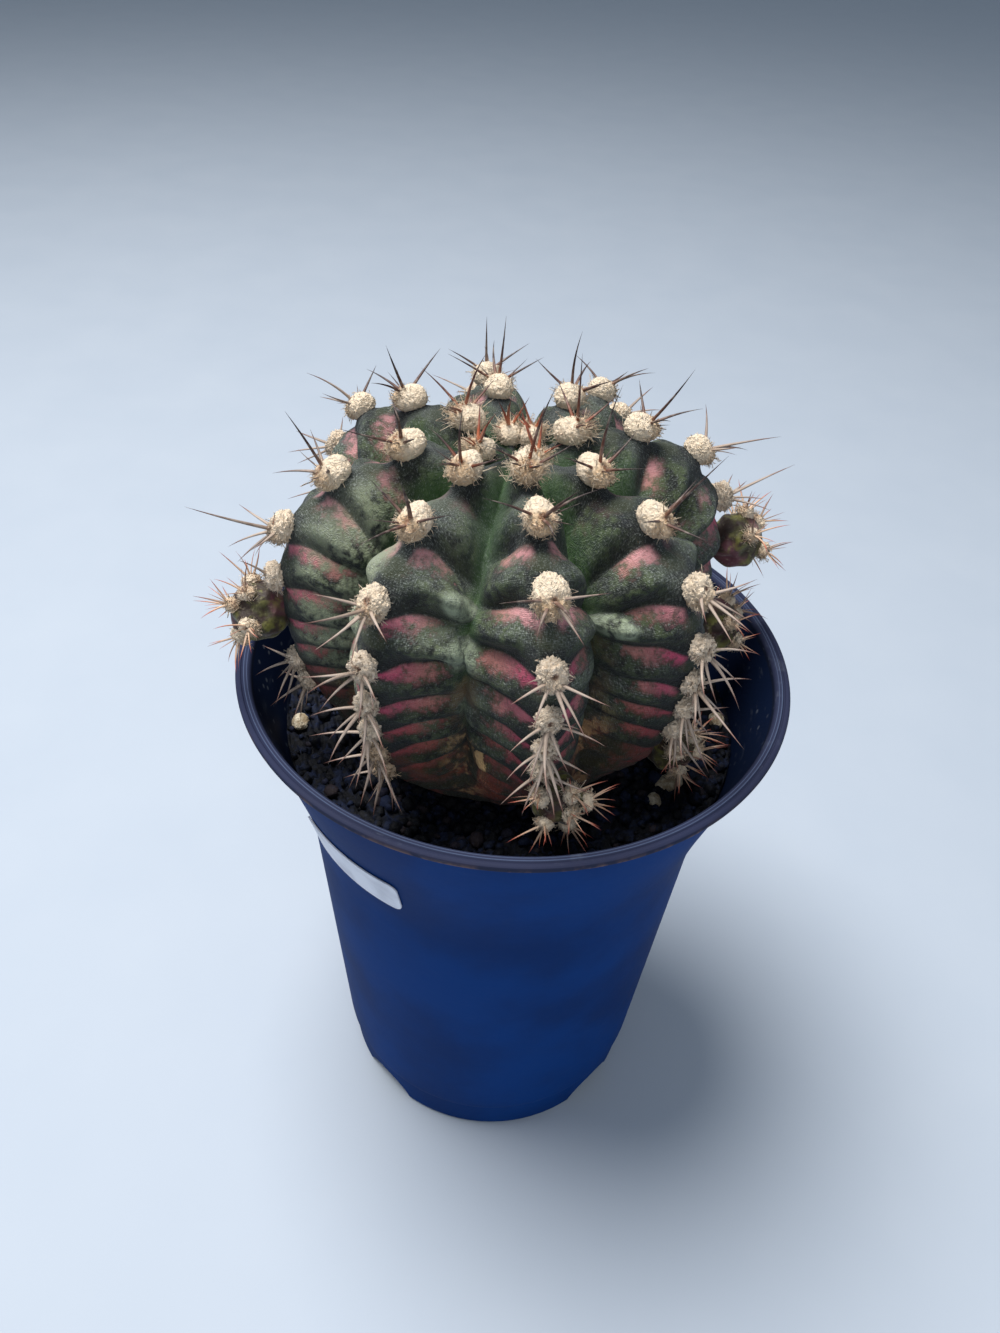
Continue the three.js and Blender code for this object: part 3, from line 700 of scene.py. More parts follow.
def skinMaterial():
    paint = Paint("cactusSkin", skinColours, Specular_IOR_Level=0.35, Sheen_Weight=0.1,
                  Sheen_Roughness=0.4, Sheen_Tint=screen(190, 205, 220))
    flat = paint.node("ShaderNodeUVMap", {"uv_map": "skin"})
    across, depth, fromCrest, chin, pad = paint.read("across", "depth", "fromCrest", "chin", "pad")
    leftSide, chain, scar, upper = paint.read("pale", "chain", "scar", "upper")
    # how far down from a crease, in pitches: from -0.5 above it to 0.5 below it
    down = paint.read("creaseSin").turnTo(paint.read("creaseCos")) / (2 * math.pi)
    broad = paint.speckle(70, 2)
    blotch = paint.speckle(190, 4, 0.6)
    mottled = paint.speckle(800, 3, 0.65)
    hanging = paint.speckle(1.0, 2, 0.6, paint.stretched((6.6, 1.9, 1), flat))
    lying = paint.speckle(1.0, 2, 0.6, paint.stretched((2.1, 6.4, 1), flat))
    waver, stray, speck = (noise - 0.5 for noise in (broad, blotch, mottled))
    # rolls: mottled dark green and near black, with green specks that thicken towards the furrows
    paint.base = paint.blend(blotch.band(0.35, 0.65), "ridgeDeep", "ridge")
    paint.coat((across + stray * 0.3).fade(0.06, 0.42) * 0.8, "crown")
    specks = mottled.band(0.4, 0.66) * (0.15 + 0.6 * across.band(0.1, 0.5))
    paint.coat(specks * (1 - 0.45 * depth.band(33, 46)), "ridgeGreen")
    # below each crease: rose, deeper in colour lower down, with blotchy ends
    lower = depth.band(29, 38)
    rose = paint.blend(lower, "roseLight", "rose")
    vivid = lower * (broad + stray * 0.5).band(0.41, 0.54) * across.fade(0.25, 0.45)
    rose = paint.blend(vivid * 0.85, rose, "magenta")
    rose = paint.blend(across.band(0.3, 0.62) * 0.6, rose, "roseWarm")
    rose = paint.blend(depth.band(44, 52) * 0.75, rose, "roseOld")
    ragged = stray * 0.5 + speck * 0.5
    cover = (down + ragged * 0.22).band(-0.02, 0.09) * (down + ragged * 0.9).fade(0.1, 0.42)
    cover = cover * (across + waver + speck * 0.5).fade(0.5, 0.76)
    cover = cover * (fromCrest + stray * 3).band(0.4, 1.6) * depth.band(12, 19)
    cover = cover * (broad + lower * 0.14).band(0.38, 0.5)
    paint.coat(cover * (1 - 0.55 * mottled.band(0.48, 0.64)), rose)
    # painted shade, near black, under the belly of each roll; the chin under each areole; and painted
    # shadow round its wool
    paintedShade = down.band(-0.34, -0.06) * down.fade(0.0, 0.05)
    paint.coat(paintedShade * 0.75 * depth.band(8, 15), "paintedShade")
    paint.coat(chin.band(0.15, 0.65) * 0.7, "chin")
    paint.coat(pad.band(0.25, 0.7) * (1 - depth.band(30, 44) * 0.5) * 0.8, "paintedShade")
    # pale patches to the left, the chain of bumps, and young green near the crown
    pale = leftSide * (broad * 0.5 + blotch * 0.5 + speck * 0.5).band(0.4, 0.56)
    paint.coat(pale * 0.85 * (1 - 0.6 * paintedShade), "pale")
    beads = chain.band(0.08, 0.6)
    high = (depth + stray * 6).fade(36, 42)
    between = across.band(0.72, 0.95) * (1 - beads) * (1 - high)
    paint.coat(between * 0.6 * blotch.band(0.4, 0.6), "tan")
    bumps = beads * (mottled + blotch * 0.6).band(0.5, 0.95) * (0.12 + 0.88 * high)
    paint.coat(bumps * 0.9, "paleBump")
    young = depth.fade(12, 24) * (across + stray * 0.4).band(0.4, 0.85)
    paint.coat(young * 0.75, "youngGreen")
    valley = across.band(0.8, 0.99) * depth.fade(34, 48) * beads.fade(0.06, 0.4)
    paint.coat(valley * 0.62, "valley")
    # the foot: brown, red in its creases, with cork in the furrows
    foot = paint.blend(blotch.band(0.46, 0.6), "oldSkin", "oldRed")
    paint.coat((depth + waver * 14).band(54, 62) * 0.7, foot)
    cork = depth.band(47, 56) * across.band(0.55, 0.95) * (blotch + speck * 0.5).band(0.5, 0.62)
    paint.coat(cork * 0.55, "cork")
    paint.coat((scar + speck * 1.6).band(0.4, 0.62), "cork")
    # frost of fine pale hairs, with painted top light: frost and hairs are stronger on what faces up
    paintedTopLight = upper.band(-0.1, 0.85) * depth.fade(50, 62)
    frostAndTopLight = hanging.band(0.36, 0.66) * 0.5 + lying.band(0.36, 0.66) * 0.5
    frostAndTopLight = frostAndTopLight * paintedTopLight * (0.08 + 0.92 * (broad * 0.5 + blotch * 0.5).band(0.45, 0.6))
    paint.coat(frostAndTopLight * (0.42 - 0.26 * cover), "frostAndSheen")
    white = (lying * 0.5 + hanging * 0.5).band(0.52, 0.66) * (0.25 + 0.75 * paintedTopLight)
    paint.coat(white * (0.28 - 0.12 * cover), "paleHair")
    return paint.finished(0.62 - 0.14 * cover + mottled * 0.1,
                          hanging * 0.9 + lying * 0.8 + mottled * 0.9 + blotch * 1.2, 0.0005, 0.9)


def makeSkin():
    perRib = stem["columnsPerRib"]
    columns, rows = perRib * len(ribs), stem["rows"]
    mesh = shaped("stemSkin", bmesh.ops.create_uvsphere, u_segments=columns, v_segments=rows,
                  radius=1)
    x, y, z = pointsOf(mesh).T
    row = np.rint(np.arccos(np.clip(z, -1, 1)) / math.pi * rows)
    column = np.rint((np.degrees(np.arctan2(y, x)) % 360) / 360 * columns)
    widths = (np.roll(crestAzimuths, -1) - crestAzimuths) % 360
    index = (column // perRib).astype(int) % len(ribs)
    azimuth = crestAzimuths[index] + widths[index] * (column % perRib) / perRib
    arc = np.minimum(row / (rows - 1), 1) * crest["arc"][-1]
    points, numbers = skin(azimuth, arc)
    points[row == rows] = [stem["x"], stem["y"], stem["foot"]]
    points[:, 2] = np.maximum(points[:, 2], stem["foot"])
    movePoints(mesh, points)
    shareOut(mesh, **numbers)
    # the flat map: millimetres round the stem and down the crest
    corners = np.zeros(len(mesh.loops), dtype=np.int32)
    mesh.loops.foreach_get("vertex_index", corners)
    turn = (azimuth % 360)[corners]
    starts = np.array([face.loop_start for face in mesh.polygons])
    face = np.repeat(np.arange(len(starts)), [face.loop_total for face in mesh.polygons])
    highest = np.maximum.reduceat(turn, starts)[face]
    turn = np.where(highest - turn > 180, turn + 360, turn)
    flat = np.stack([turn / 360 * 200, arc[corners]], axis=-1)
    layer = mesh.uv_layers.new(name="skin")
    layer.data.foreach_set("uv", flat.astype(np.float32).ravel())
    faceOut(mesh)
    # how far each point faces up, for the painted top light on the frost
    shareOut(mesh, upper=pointsOf(mesh, "normal")[:, 2])
    piece = place("stem_skin", mesh, skinMaterial())
    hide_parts("cactus")
    print("stem skin done:", len(mesh.polygons), "faces")


# Areoles: where they sit and how they face

areoles = {
    "tuft": 2,  # half the width of a young one
    "oldTuft": 1.55,
    "long": 1.14,  # up the crest, against its width
    "tall": 0.92,  # out of the skin
    "rootDrop": 0.3,  # from a tuft's middle down to the spines' root
    "spineRadius": 0.31,
    "offsetSpineRadius": 0.24,
    # what the spines keep clear of each thing
    "soilMargin": 1.6,
    "potMargin": 0.9,
    "headMargin": 4.2,
    "fineHeadMargin": 3.2,
    "stemMargin": 1.2,
}


offsets = table(
    "name azimuth arc radius lift seed",
    ("offset_front", -72.5, 59, 3.7, 3, 11),
    ("offset_left", 197, 46, 4.2, 3.6, 23),
    ("offset_right", 18.5, 43, 4.2, 4.2, 37),
    ("offset_right_side", 16, 56.5, 4.6, 4.9, 41),
    ("offset_right_front", -27, 63, 3.7, 3.9, 59))


def areoleAt(azimuth, arc):
    at = crestAt(np.array([float(arc)]))
    out = around(at["outR"], np.array([float(azimuth)]), at["outZ"])[0]
    side = around(1.0, azimuth + 90.0, 0.0)
    point = skin(np.array([float(azimuth)]), np.array([float(arc)]), fine=False)[0][0]
    return {"azimuth": azimuth, "arc": float(arc), "place": point, "out": out, "side": side,
            "up": np.cross(out, side)}


def areolesOf(index):
    rib = ribs[index]
    found = []
    for k in range(40):
        arc = float(crestAt(firstCounts[index] + k * stretches[index], "count")["arc"])
        if arc > rib["last"]:
            return found
        areole = areoleAt(rib["azimuth"], arc)
        found.append({**areole, "central": rib["centrals"].get(k), "plump": k == rib["plump"]})
    return found


offsetSeats = []
for head in offsets:
    base = areoleAt(head["azimuth"], head["arc"])
    offsetSeats.append({"areole": base, "centre": base["place"] + base["out"] * head["lift"]})


def nearOffset(point, margin):
    return any(np.linalg.norm(seat["centre"] - point) < head["radius"] + margin
               for seat, head in zip(offsetSeats, offsets))


def tuftSize(areole):
    size = mix(areoles["tuft"], areoles["oldTuft"], ease(28, 52, areole["arc"]))
    return float(0.8 * size if areole["arc"] < 6 else size)


stemAreoles = [areole for rib in range(len(ribs)) for areole in areolesOf(rib)
               if not nearOffset(areole["place"], areoles["tuft"] + 0.75)]


# Spines

soilTop = 86.0
spineVaries = 0.5  # the most that is added to a spine, as a share of its length
fineOrder = 5  # the number of a finer spine, against 0 for a central one
# by the areole's distance from the crown: the central one's length and lift, and the radials
spineKinds = table(
    "until central lift radials radial spread outward",
    (7, 4, 0.35, 2, 3, 90, 2.5),
    (27.2, 7, 0.05, 3, 4.4, 95, 0.6),
    (99, 5.5, -0.8, 4, 4.4, 82, 0.7))
# along a spine from its root to its tip: how far, and the colour there
spineColours = {
    "fresh": [(0.0, 222, 158, 120), (0.4, 178, 94, 62), (0.8, 116, 60, 50), (1.0, 56, 36, 38)],
    "young": [(0.0, 176, 96, 50), (0.22, 120, 62, 38), (0.5, 58, 36, 34), (1.0, 24, 20, 26)],
    "mature": [(0.0, 140, 96, 68), (0.3, 92, 62, 52), (0.6, 52, 36, 36), (1.0, 26, 20, 24)],
    "old": [(0.0, 158, 138, 120), (0.55, 170, 154, 142), (0.82, 122, 86, 76), (1.0, 56, 28, 28)],
    "tender": [(0.0, 232, 208, 180), (0.5, 214, 172, 142), (0.82, 196, 92, 70),
               (1.0, 120, 44, 40)],
    "dark": (62, 42, 38),
    "bleached": (196, 182, 168),
}


def nearPotOrSoil(point):
    if point[2] < soilTop + areoles["soilMargin"]:
        return True
    reach = math.hypot(point[0], point[1]) + pot["wall"] + areoles["potMargin"]
    return point[2] < pot["height"] + areoles["potMargin"] and reach > wallRadius(point[2])


def cleared(root, heading, length, blocked):
    # a spine that would meet something is bent up and drawn in until it is clear
    heading = unit(np.array(heading))
    for tries in range(12):
        if not any(blocked(root + heading * length * t) for t in (0.5, 0.75, 1)):
            return heading, length
        heading[2] += 0.14
        heading = unit(heading)
        length *= 0.93
    return None


def spineFan(areole, draw):
    kind = next(kind for kind in spineKinds if areole["arc"] < kind["until"])

    def jitter(size):
        return (draw() - 0.5) * 2 * size

    def varied(length):
        return length * (1 + spineVaries * draw())

    central = areole["central"] or (kind["lift"] + jitter(0.2), jitter(0.3),
                                    varied(kind["central"]))
    fan = [(1, *central)]
    for i in range(kind["radials"]):
        angle = math.radians(mix(-kind["spread"], kind["spread"], i / (kind["radials"] - 1)))
        turn = angle + jitter(0.15)
        fan.append((kind["outward"], -math.cos(turn), math.sin(turn), varied(kind["radial"])))
    return fan


def rod(root, clear, order, age, tender=0):
    return {"root": root, "heading": clear[0], "length": clear[1], "order": order, "age": age,
            "tender": tender}


def stemRod(areole, shares, root, length, order, margin):
    out, up, side = shares
    heading = areole["out"] * out + areole["up"] * up + areole["side"] * side
    clear = cleared(root, heading, length,
                    lambda point: nearPotOrSoil(point) or nearOffset(point, margin))
    return [rod(root, clear, order, float(ease(6, 40, areole["arc"])))] if clear else []


def stemSpines():
    draw = seeded(7)
    rods = []
    for areole in stemAreoles:
        size = tuftSize(areole)
        root = areole["place"] + areole["out"] * size * 0.45
        root = root - areole["up"] * size * areoles["rootDrop"]
        for order, (*shares, length) in enumerate(spineFan(areole, draw)):
            rods += stemRod(areole, shares, root, length + size, order, areoles["headMargin"])
    # finer radials between the main ones, for the full count of each areole
    draw = seeded(71)
    for areole in stemAreoles:
        size = tuftSize(areole)
        root = areole["place"] + areole["out"] * size * 0.3 - areole["up"] * size * 0.2
        for i in range(2 if areole["arc"] < 27 else 1):
            angle = math.radians(mix(-100, 100, draw()))
            rods += stemRod(areole, (0.6, -math.cos(angle), math.sin(angle)), root,
                            size + 1.4 + 2.8 * draw(), fineOrder, areoles["fineHeadMargin"])
    return rods


def spineTaper(t):
    return np.maximum(0.03, (1 - t ** 1.5) * (1 + 0.3 * np.exp(-t / 0.05)))


def rodsMesh(name, rods, thick, seed, sides=7, cuts=8):
    draw = seeded(seed)
    roots, headings, lengths, orders, age, tender = columnsOf(
        rods, "root", "heading", "length", "order", "age", "tender")
    radii = thick * np.where(orders == 0, 1.0, 0.88) * np.where(orders == fineOrder, 0.62, 1.0)
    lean = np.array([[draw() - 0.5, draw() - 0.5, draw() * 0.6] for root in roots])
    lean = lean - headings * np.sum(lean * headings, axis=1, keepdims=True)
    mesh, ring = bentRods(name, sides, cuts, roots, headings, lengths, radii, lean * 0.11,
                          spineTaper, 0.78)
    shareOut(mesh, ring, age=age, tone=[draw() for root in roots], tender=tender)
    return mesh


def spineHorn():
    paint = Paint("hornySpines", spineColours, Specular_IOR_Level=0.45)
    along, age, tone, tender = paint.read("along", "age", "tone", "tender")
    grain = paint.speckle(900, 3, 0.6)
    ramps = {name: paint.ramp(along, stops) for name, stops in spineColours.items()
             if isinstance(stops, list)}
    paint.base = ramps["young"]
    paint.coat(age.band(0.02, 0.2), ramps["mature"])
    paint.coat((age + (tone - 0.5) * 0.3).band(0.5, 0.85), ramps["old"])
    paint.coat(age.fade(0.001, 0.014), ramps["fresh"])
    paint.coat((1 - tone) * 0.35, "dark")
    paint.coat(grain.band(0.45, 0.7) * 0.25, "bleached")
    paint.coat(tender * (0.25 + 0.75 * tone), ramps["tender"])
    return paint.finished(0.44 + 0.2 * grain, grain, 0.0001, 0.5)


def makeSpines(horn):
    mesh = rodsMesh("stemSpines", stemSpines(), areoles["spineRadius"], 5)
    piece = place("stem_spines", mesh, horn)
    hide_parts("cactus")
    print("stem spines done:", len(mesh.polygons), "faces")


# Wool: a felted egg on each areole with a fringe of fibres

wool = {
    "cream": (250, 229, 200),
    "warmShade": (228, 194, 154),
    "grey": (252, 230, 204),
    "stain": (140, 86, 50),
    "deepStain": (84, 48, 30),
    "dry": (222, 184, 142),
    "bright": (252, 250, 244),
    "fibres": 205,
    "level": 5,  # of the domes' detail
    "peak": 0.17,  # how far fresh wool is drawn up to a point
}


def woolMaterial():
    paint = Paint("areoleWool", wool, Specular_IOR_Level=0.1, Sheen_Weight=0.25, Sheen_Roughness=0.6)
    age, stain, low = paint.read("age", "stain", "low")
    felt = paint.speckle(1900, 4, 0.65)
    knots = paint.speckle(620, 3, 0.6)
    uneven = (knots - 0.5) * 0.8
    # painted shade: the lower side of each tuft and its hanging fibres are blended to a darker warm
    # cream
    paint.base = paint.blend((low + uneven).band(0.15, 1.0), "cream", "warmShade")
    paint.coat(age.band(0.4, 0.9) * 0.75, "grey")
    paint.coat(age.band(0.92, 1.0) * 0.7, "dry")
    paint.coat(knots.band(0.56, 0.70) * (0.06 + 0.5 * low), "stain")
    paint.coat((stain + uneven).band(0.22, 0.62) * 0.85, "stain")
    paint.coat(stain.band(0.55, 0.85) * 0.75, "deepStain")
    paint.coat(felt.fade(0.3, 0.5) * 0.3, "warmShade")
    paint.coat(felt.band(0.52, 0.72) * 0.3, "bright")
    return paint.finished(0.88 + felt * 0.1, felt * 1.5 + knots * 1.2, 0.0009, 0.9)


def tuftsMesh(name, spots, seed, level):
    # spots: centre, frame and size of each tuft, with its age
    count = len(spots)
    ball = shaped(name + "Ball", bmesh.ops.create_icosphere, subdivisions=level, radius=1)
    mesh, local = repeated(ball, count, name)
    own = (local + np.arange(count)[:, None, None] * 7.3).reshape(-1, 3)
    coarse, curls, felt = (lumps(own, size, seed + shift).reshape(count, -1)
                           for size, shift in ((0.8, 4), (0.24, 0), (0.11, 9)))
    points, stain, low = np.zeros_like(local), np.zeros_like(curls), np.zeros_like(curls)
    for i, spot in enumerate(spots):
        side, up, out = local[i].T
        age = spot["age"]
        # how low on the tuft each point is, for the painted shade
        low[i] = ease(0.25, -0.6, up)
        ragged = 0.35 + 0.65 * np.maximum(low[i], age)
        worms = 1 - np.minimum(1, 3.4 * np.abs(curls[i]))
        grain = (0.06 + 0.12 * age) * felt[i] + (0.06 + 0.07 * age) * coarse[i]
        swell = 0.93 - 0.12 * age + grain + (0.07 + 0.26 * age) * ragged * worms
        top = 0.62 * up + 0.78 * out + 0.12 * side * math.sin(5 * i)
        swell = swell + wool["peak"] * (1 - age) * np.exp(-(1 - top) / 0.1)
        # a pit where the spines leave the wool: low in fresh tufts, in the middle of old ones
        pitUp = mix(-0.5, 0.16, ease(0.15, 0.6, age))
        pit = hump(side, 0.38) * hump(up - pitUp, 0.32) * ease(0, 0.5, out)
        swell = swell - (0.13 + 0.34 * age) * pit * (1 + 0.5 * felt[i])
        long = areoles["long"] * (1.1 - 0.1 * age)
        shape = local[i] * [1, long, areoles["tall"]] * swell[:, None] * spot["size"]
        points[i] = spot["centre"] + shape @ np.array([spot["side"], spot["up"], spot["out"]])
        stain[i] = pit * mix(0.62, 0.9, age)
    movePoints(mesh, points.reshape(-1, 3))
    shareOut(mesh, local.shape[1], age=[spot["age"] for spot in spots])
    shareOut(mesh, stain=stain, low=low)
    return mesh


def fringeMesh(name, spots, perTuft, seed, scale=1.0):
    rng = np.random.default_rng(seed)
    count = len(spots) * perTuft
    side, up, out, centre, size, age, shag = (
        np.repeat(column, perTuft, axis=0)
        for column in columnsOf(spots, "side", "up", "out", "centre", "size", "age", "shag"))
    # most fibres leave the lower edge, the rest all over
    lowEdge = rng.random(count) < 0.52 - 0.2 * age
    angle = np.where(lowEdge, rng.normal(-math.pi / 2, 0.9, count),
                     rng.uniform(-math.pi, math.pi, count))
    rise = np.where(lowEdge, rng.uniform(-0.3, 0.5, count), rng.uniform(-0.2, 1.0, count))
    ring = np.sqrt(1 - rise ** 2)
    across = side * (ring * np.cos(angle))[:, None]
    along = up * (ring * np.sin(angle))[:, None]
    normal = across + along + out * rise[:, None]
    shape = across + along * areoles["long"] + out * (rise * areoles["tall"])[:, None]
    roots = centre + shape * (size * (0.86 - 0.04 * age))[:, None]
    headings = unit(normal + rng.normal(0, 0.6, (count, 3)) * (1 + age)[:, None] - up * 0.15)
    lengths = size * shag * np.where(lowEdge, rng.uniform(0.25, 0.62, count),
                                     rng.uniform(0.16, 0.38, count)) * scale
    radii = rng.uniform(0.05, 0.1, count)
    bows = rng.normal(0, 0.42, (count, 3))
    mesh, ringSize = bentRods(name, 3, 1, roots, headings, lengths, radii, bows,
                              lambda t: 1 - 0.75 * t)
    # low: fibres hanging below the tuft, for the painted shade
    shareOut(mesh, ringSize, age=age, stain=rng.random(count) ** 4 * 0.5,
             low=np.clip(-np.sin(angle), 0, 1) * 0.6)
    return mesh


def stemSpots():
    spots = []
    for areole in stemAreoles:
        size = tuftSize(areole)
        dry = areole["arc"] > 52 and areole["azimuth"] > 200
        age = 1.0 if dry else 0.9 * float(ease(20, 40, areole["arc"]))
        fullness = 1.18 if areole["plump"] else 1 + 0.08 * (1 - age)
        spots.append({**areole, "centre": areole["place"] + areole["out"] * size * 0.28,
                      "size": size * fullness, "age": age,
                      "shag": 1.7 if areole["arc"] < 10 or dry else 1})
    return spots


def makeWool(felt):
    # fresh tufts and old ones are two pieces, and their fringes a third
    spots = stemSpots()
    groups = [("stem_wool", [s for s in spots if s["age"] < 0.85], wool["level"]),
              ("stem_old_wool", [s for s in spots if s["age"] >= 0.85], wool["level"] - 1)]
    meshes = [(name, tuftsMesh(name, group, 1.7, level)) for name, group, level in groups]
    meshes.append(("stem_fringe", fringeMesh("stemFringe", spots, wool["fibres"], 12)))
    for name, mesh in meshes:
        piece = place(name, mesh, felt)
        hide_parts("cactus")
        print(name, "done:", len(mesh.polygons), "faces")


# Offset heads

offsetLook = {
    "ribs": 5,
    "tuft": 1.18,
    "tilts": (66, 48),
    "lean": 0.45,
    "spread": 0.75,
    "spines": 3,
    "fineSpines": 4,
    "olive": (68, 66, 34),
    "brown": (46, 30, 24),
    "lime": (118, 116, 52),
    "plum": (92, 52, 60),
    "bloom": (150, 142, 120),
}


def offsetSkin():
    paint = Paint("offsetSkin", offsetLook, Specular_IOR_Level=0.4, Sheen_Weight=0.15)
    blotch = paint.speckle(420, 4, 0.6)
    grain = paint.speckle(1500, 3)
    paint.base = paint.blend(blotch.band(0.4, 0.62), "brown", "olive")
    paint.coat(paint.speckle(190, 2).band(0.5, 0.62), "plum")
    paint.coat(paint.read("crest") * blotch.band(0.46, 0.6) * 0.8, "lime")
    paint.coat(grain.band(0.58, 0.74) * 0.4, "bloom")
    return paint.finished(0.5 + grain * 0.2, grain + blotch, 0.0003, 0.6)


def insideStem(point, margin):
    drop = stem["equator"] - point[2]
    shape = math.sqrt(max(0.0, 1 - (drop / stem["underside"]) ** 2)) if drop > 0 else 1.0
    reach = math.hypot(point[0] - stem["x"], point[1] - stem["y"])
    return reach < stem["radius"] * shape + margin


def offsetGlobe(head, centre, axes):
    mesh = shaped(head["name"] + "Globe", bmesh.ops.create_uvsphere, u_segments=80,
                  v_segments=48, radius=1)
    ball = pointsOf(mesh)
    across = np.hypot(ball[:, 0], ball[:, 1])
    lobes = np.cos(offsetLook["ribs"] * np.arctan2(ball[:, 1], ball[:, 0]))
    valley = 0.5 - 0.5 * lobes
    swell = 1 - 0.17 * across * valley ** 1.4 + 0.05 * lobes * np.cos(9 * ball[:, 2]) * across
    swell = swell + 0.035 * lumps(ball, 0.4, head["seed"])
    movePoints(mesh, centre + (ball * (head["radius"] * swell)[:, None]) @ axes)
    shareOut(mesh, crest=(1 - valley) * across)
    return mesh


def makeOffset(head, seat, felt, horn, flesh):
    name, seed, centre = head["name"], head["seed"], seat["centre"]
    draw, fine = seeded(seed), seeded(seed + 100)
    axis = unit(seat["areole"]["out"] + np.array([0, 0, offsetLook["lean"]]))
    side = seat["areole"]["side"]
    axes = np.array([side, unit(np.cross(axis, side)), axis])
    spots, rods = [], []
    turns = [(12, 40)] + [(offsetLook["tilts"][i % 2], 72 * i) for i in range(5)]
    for tilt, turn in turns:
        lean = math.sin(math.radians(tilt))
        out = around(lean, turn, math.cos(math.radians(tilt))) @ axes
        spot = centre + out * head["radius"]
        size = offsetLook["tuft"] * (0.85 + 0.3 * draw())
        if insideStem(spot, size + 0.6):
            continue
        level = unit(np.cross(axis, out))
        up = np.cross(out, level)
        spots.append({"centre": spot + out * size * 0.2, "side": level, "up": up, "out": out,
                      "size": size, "age": 0.6, "shag": 1})
        fan = [(360 * i / 3 + 90 + 40 * (draw() - 0.5), 3.2 + 1.6 * draw() + size, 1)
               for i in range(offsetLook["spines"])]
        fan += [(360 * (i + 0.5) / 4 + 50 * (fine() - 0.5), 2.0 + 1.8 * fine() + size,
                 fineOrder)
                for i in range(offsetLook["fineSpines"])]
        root = spot + out * size * 0.3
        for angle, length, order in fan:
            aside = level * math.cos(math.radians(angle)) + up * math.sin(math.radians(angle))
            clear = cleared(root, out + offsetLook["spread"] * aside, length,
                            lambda point: nearPotOrSoil(point)
                            or insideStem(point, areoles["stemMargin"]))
            if clear:
                rods.append(rod(root, clear, order, 0.5 + 0.5 * fine(), 1))
    piece = joined([
        place(name + "_skin", offsetGlobe(head, centre, axes), flesh),
        place(name + "_wool", tuftsMesh(name, spots, seed, 4), felt),
        place(name + "_fringe", fringeMesh(name, spots, 90, seed, 1.7), felt),
        place(name + "_spines", rodsMesh(name, rods, areoles["offsetSpineRadius"], seed, 5, 5), horn),
    ], name + "_head")
    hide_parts(name)


# Soil and grit

soil = {
    "sides": 300,
    "relief": 0.9,
    "crumbs": 1500,
    "socketGap": 0.4,
    "wallGap": 0.3,
    "black": (6, 8, 15),
    "blueBlack": (20, 29, 52),
    "brown": (40, 30, 24),
    "glint": (40, 48, 70),
}
soilRadius = float(wallRadius(soilTop)) - pot["wall"] - soil["wallGap"]


def socketRadius(z):
    share = 1 - ((stem["equator"] - z) / stem["underside"]) ** 2
    return stem["radius"] * math.sqrt(share) + soil["socketGap"]


def crumbRise(x, y):
    coarse = np.sin(1.7 * x + 0.6 * y) * np.sin(1.4 * y - 0.9 * x)
    small = np.sin(3.1 * x - 1.3 * y + 2) * np.sin(2.7 * y + 1.9 * x)
    return 0.6 * soil["relief"] * (coarse + small)


def soilMaterial():
    paint = Paint("dampPottingMix", soil, Specular_IOR_Level=0.2)
    grains = paint.cells(900)
    dark = paint.speckle(500, 4, 0.65)
    tone = paint.read("tone")
    paint.base = paint.blend((dark + (tone - 0.5) * 0.35).band(0.42, 0.66), "black",
                             "blueBlack")
    paint.coat(tone.band(0.86, 0.97) * 0.7, "brown")
    paint.coat(grains.fade(0.1, 0.35) * 0.25, "glint")
    return paint.finished(0.55 + dark * 0.4, grains * 0.6 + dark, 0.0005, 0.8)


def soilBed():
    inner = socketRadius(soilTop)
    floor = pot["floor"] + 0.3
    inward, foot = pot["wall"] + soil["wallGap"], stem["foot"] - soil["socketGap"]
    outline = [(0, floor), wallPoint(floor, inward + pot["footStep"]),
               wallPoint(8, inward + pot["footStep"])]
    outline += [wallPoint(z, inward) for z in (66, 72, 78, 83)]
    outline += [(mix(soilRadius - 0.1, inner, i / 44), soilTop) for i in range(45)]
    outline += [(socketRadius(z), z) for z in (85, 83.6, 82)]
    outline += [(socketRadius(stem["foot"]), foot), (0, foot)]
    mesh = spun("soilBed", outline, soil["sides"])
    points = pointsOf(mesh)
    radius = np.hypot(points[:, 0], points[:, 1])
    top = (points[:, 2] >= stem["foot"] - 1) & (radius < soilRadius - 0.05)
    # the socket lies round the stem's own axis, and the bed eases over to the pot's
    share = 1 - np.clip((radius - inner) / (soilRadius - inner), 0, 1)
    points[:, 0] += np.where(top, stem["x"] * share, 0)
    points[:, 1] += np.where(top, stem["y"] * share, 0)
    level = top & (points[:, 2] > soilTop - 0.01)
    rise = crumbRise(points[:, 0], points[:, 1])
    rise = rise + 0.5 * lumps(points, 1.3, 2.2) + 0.25 * lumps(points, 0.6, 8.2)
    points[:, 2] += np.where(level, rise * ease(inner, inner + 1, radius), 0)
    movePoints(mesh, points)
    shareOut(mesh, tone=0.35 + 0.3 * lumps(points, 3, 6))
    return mesh


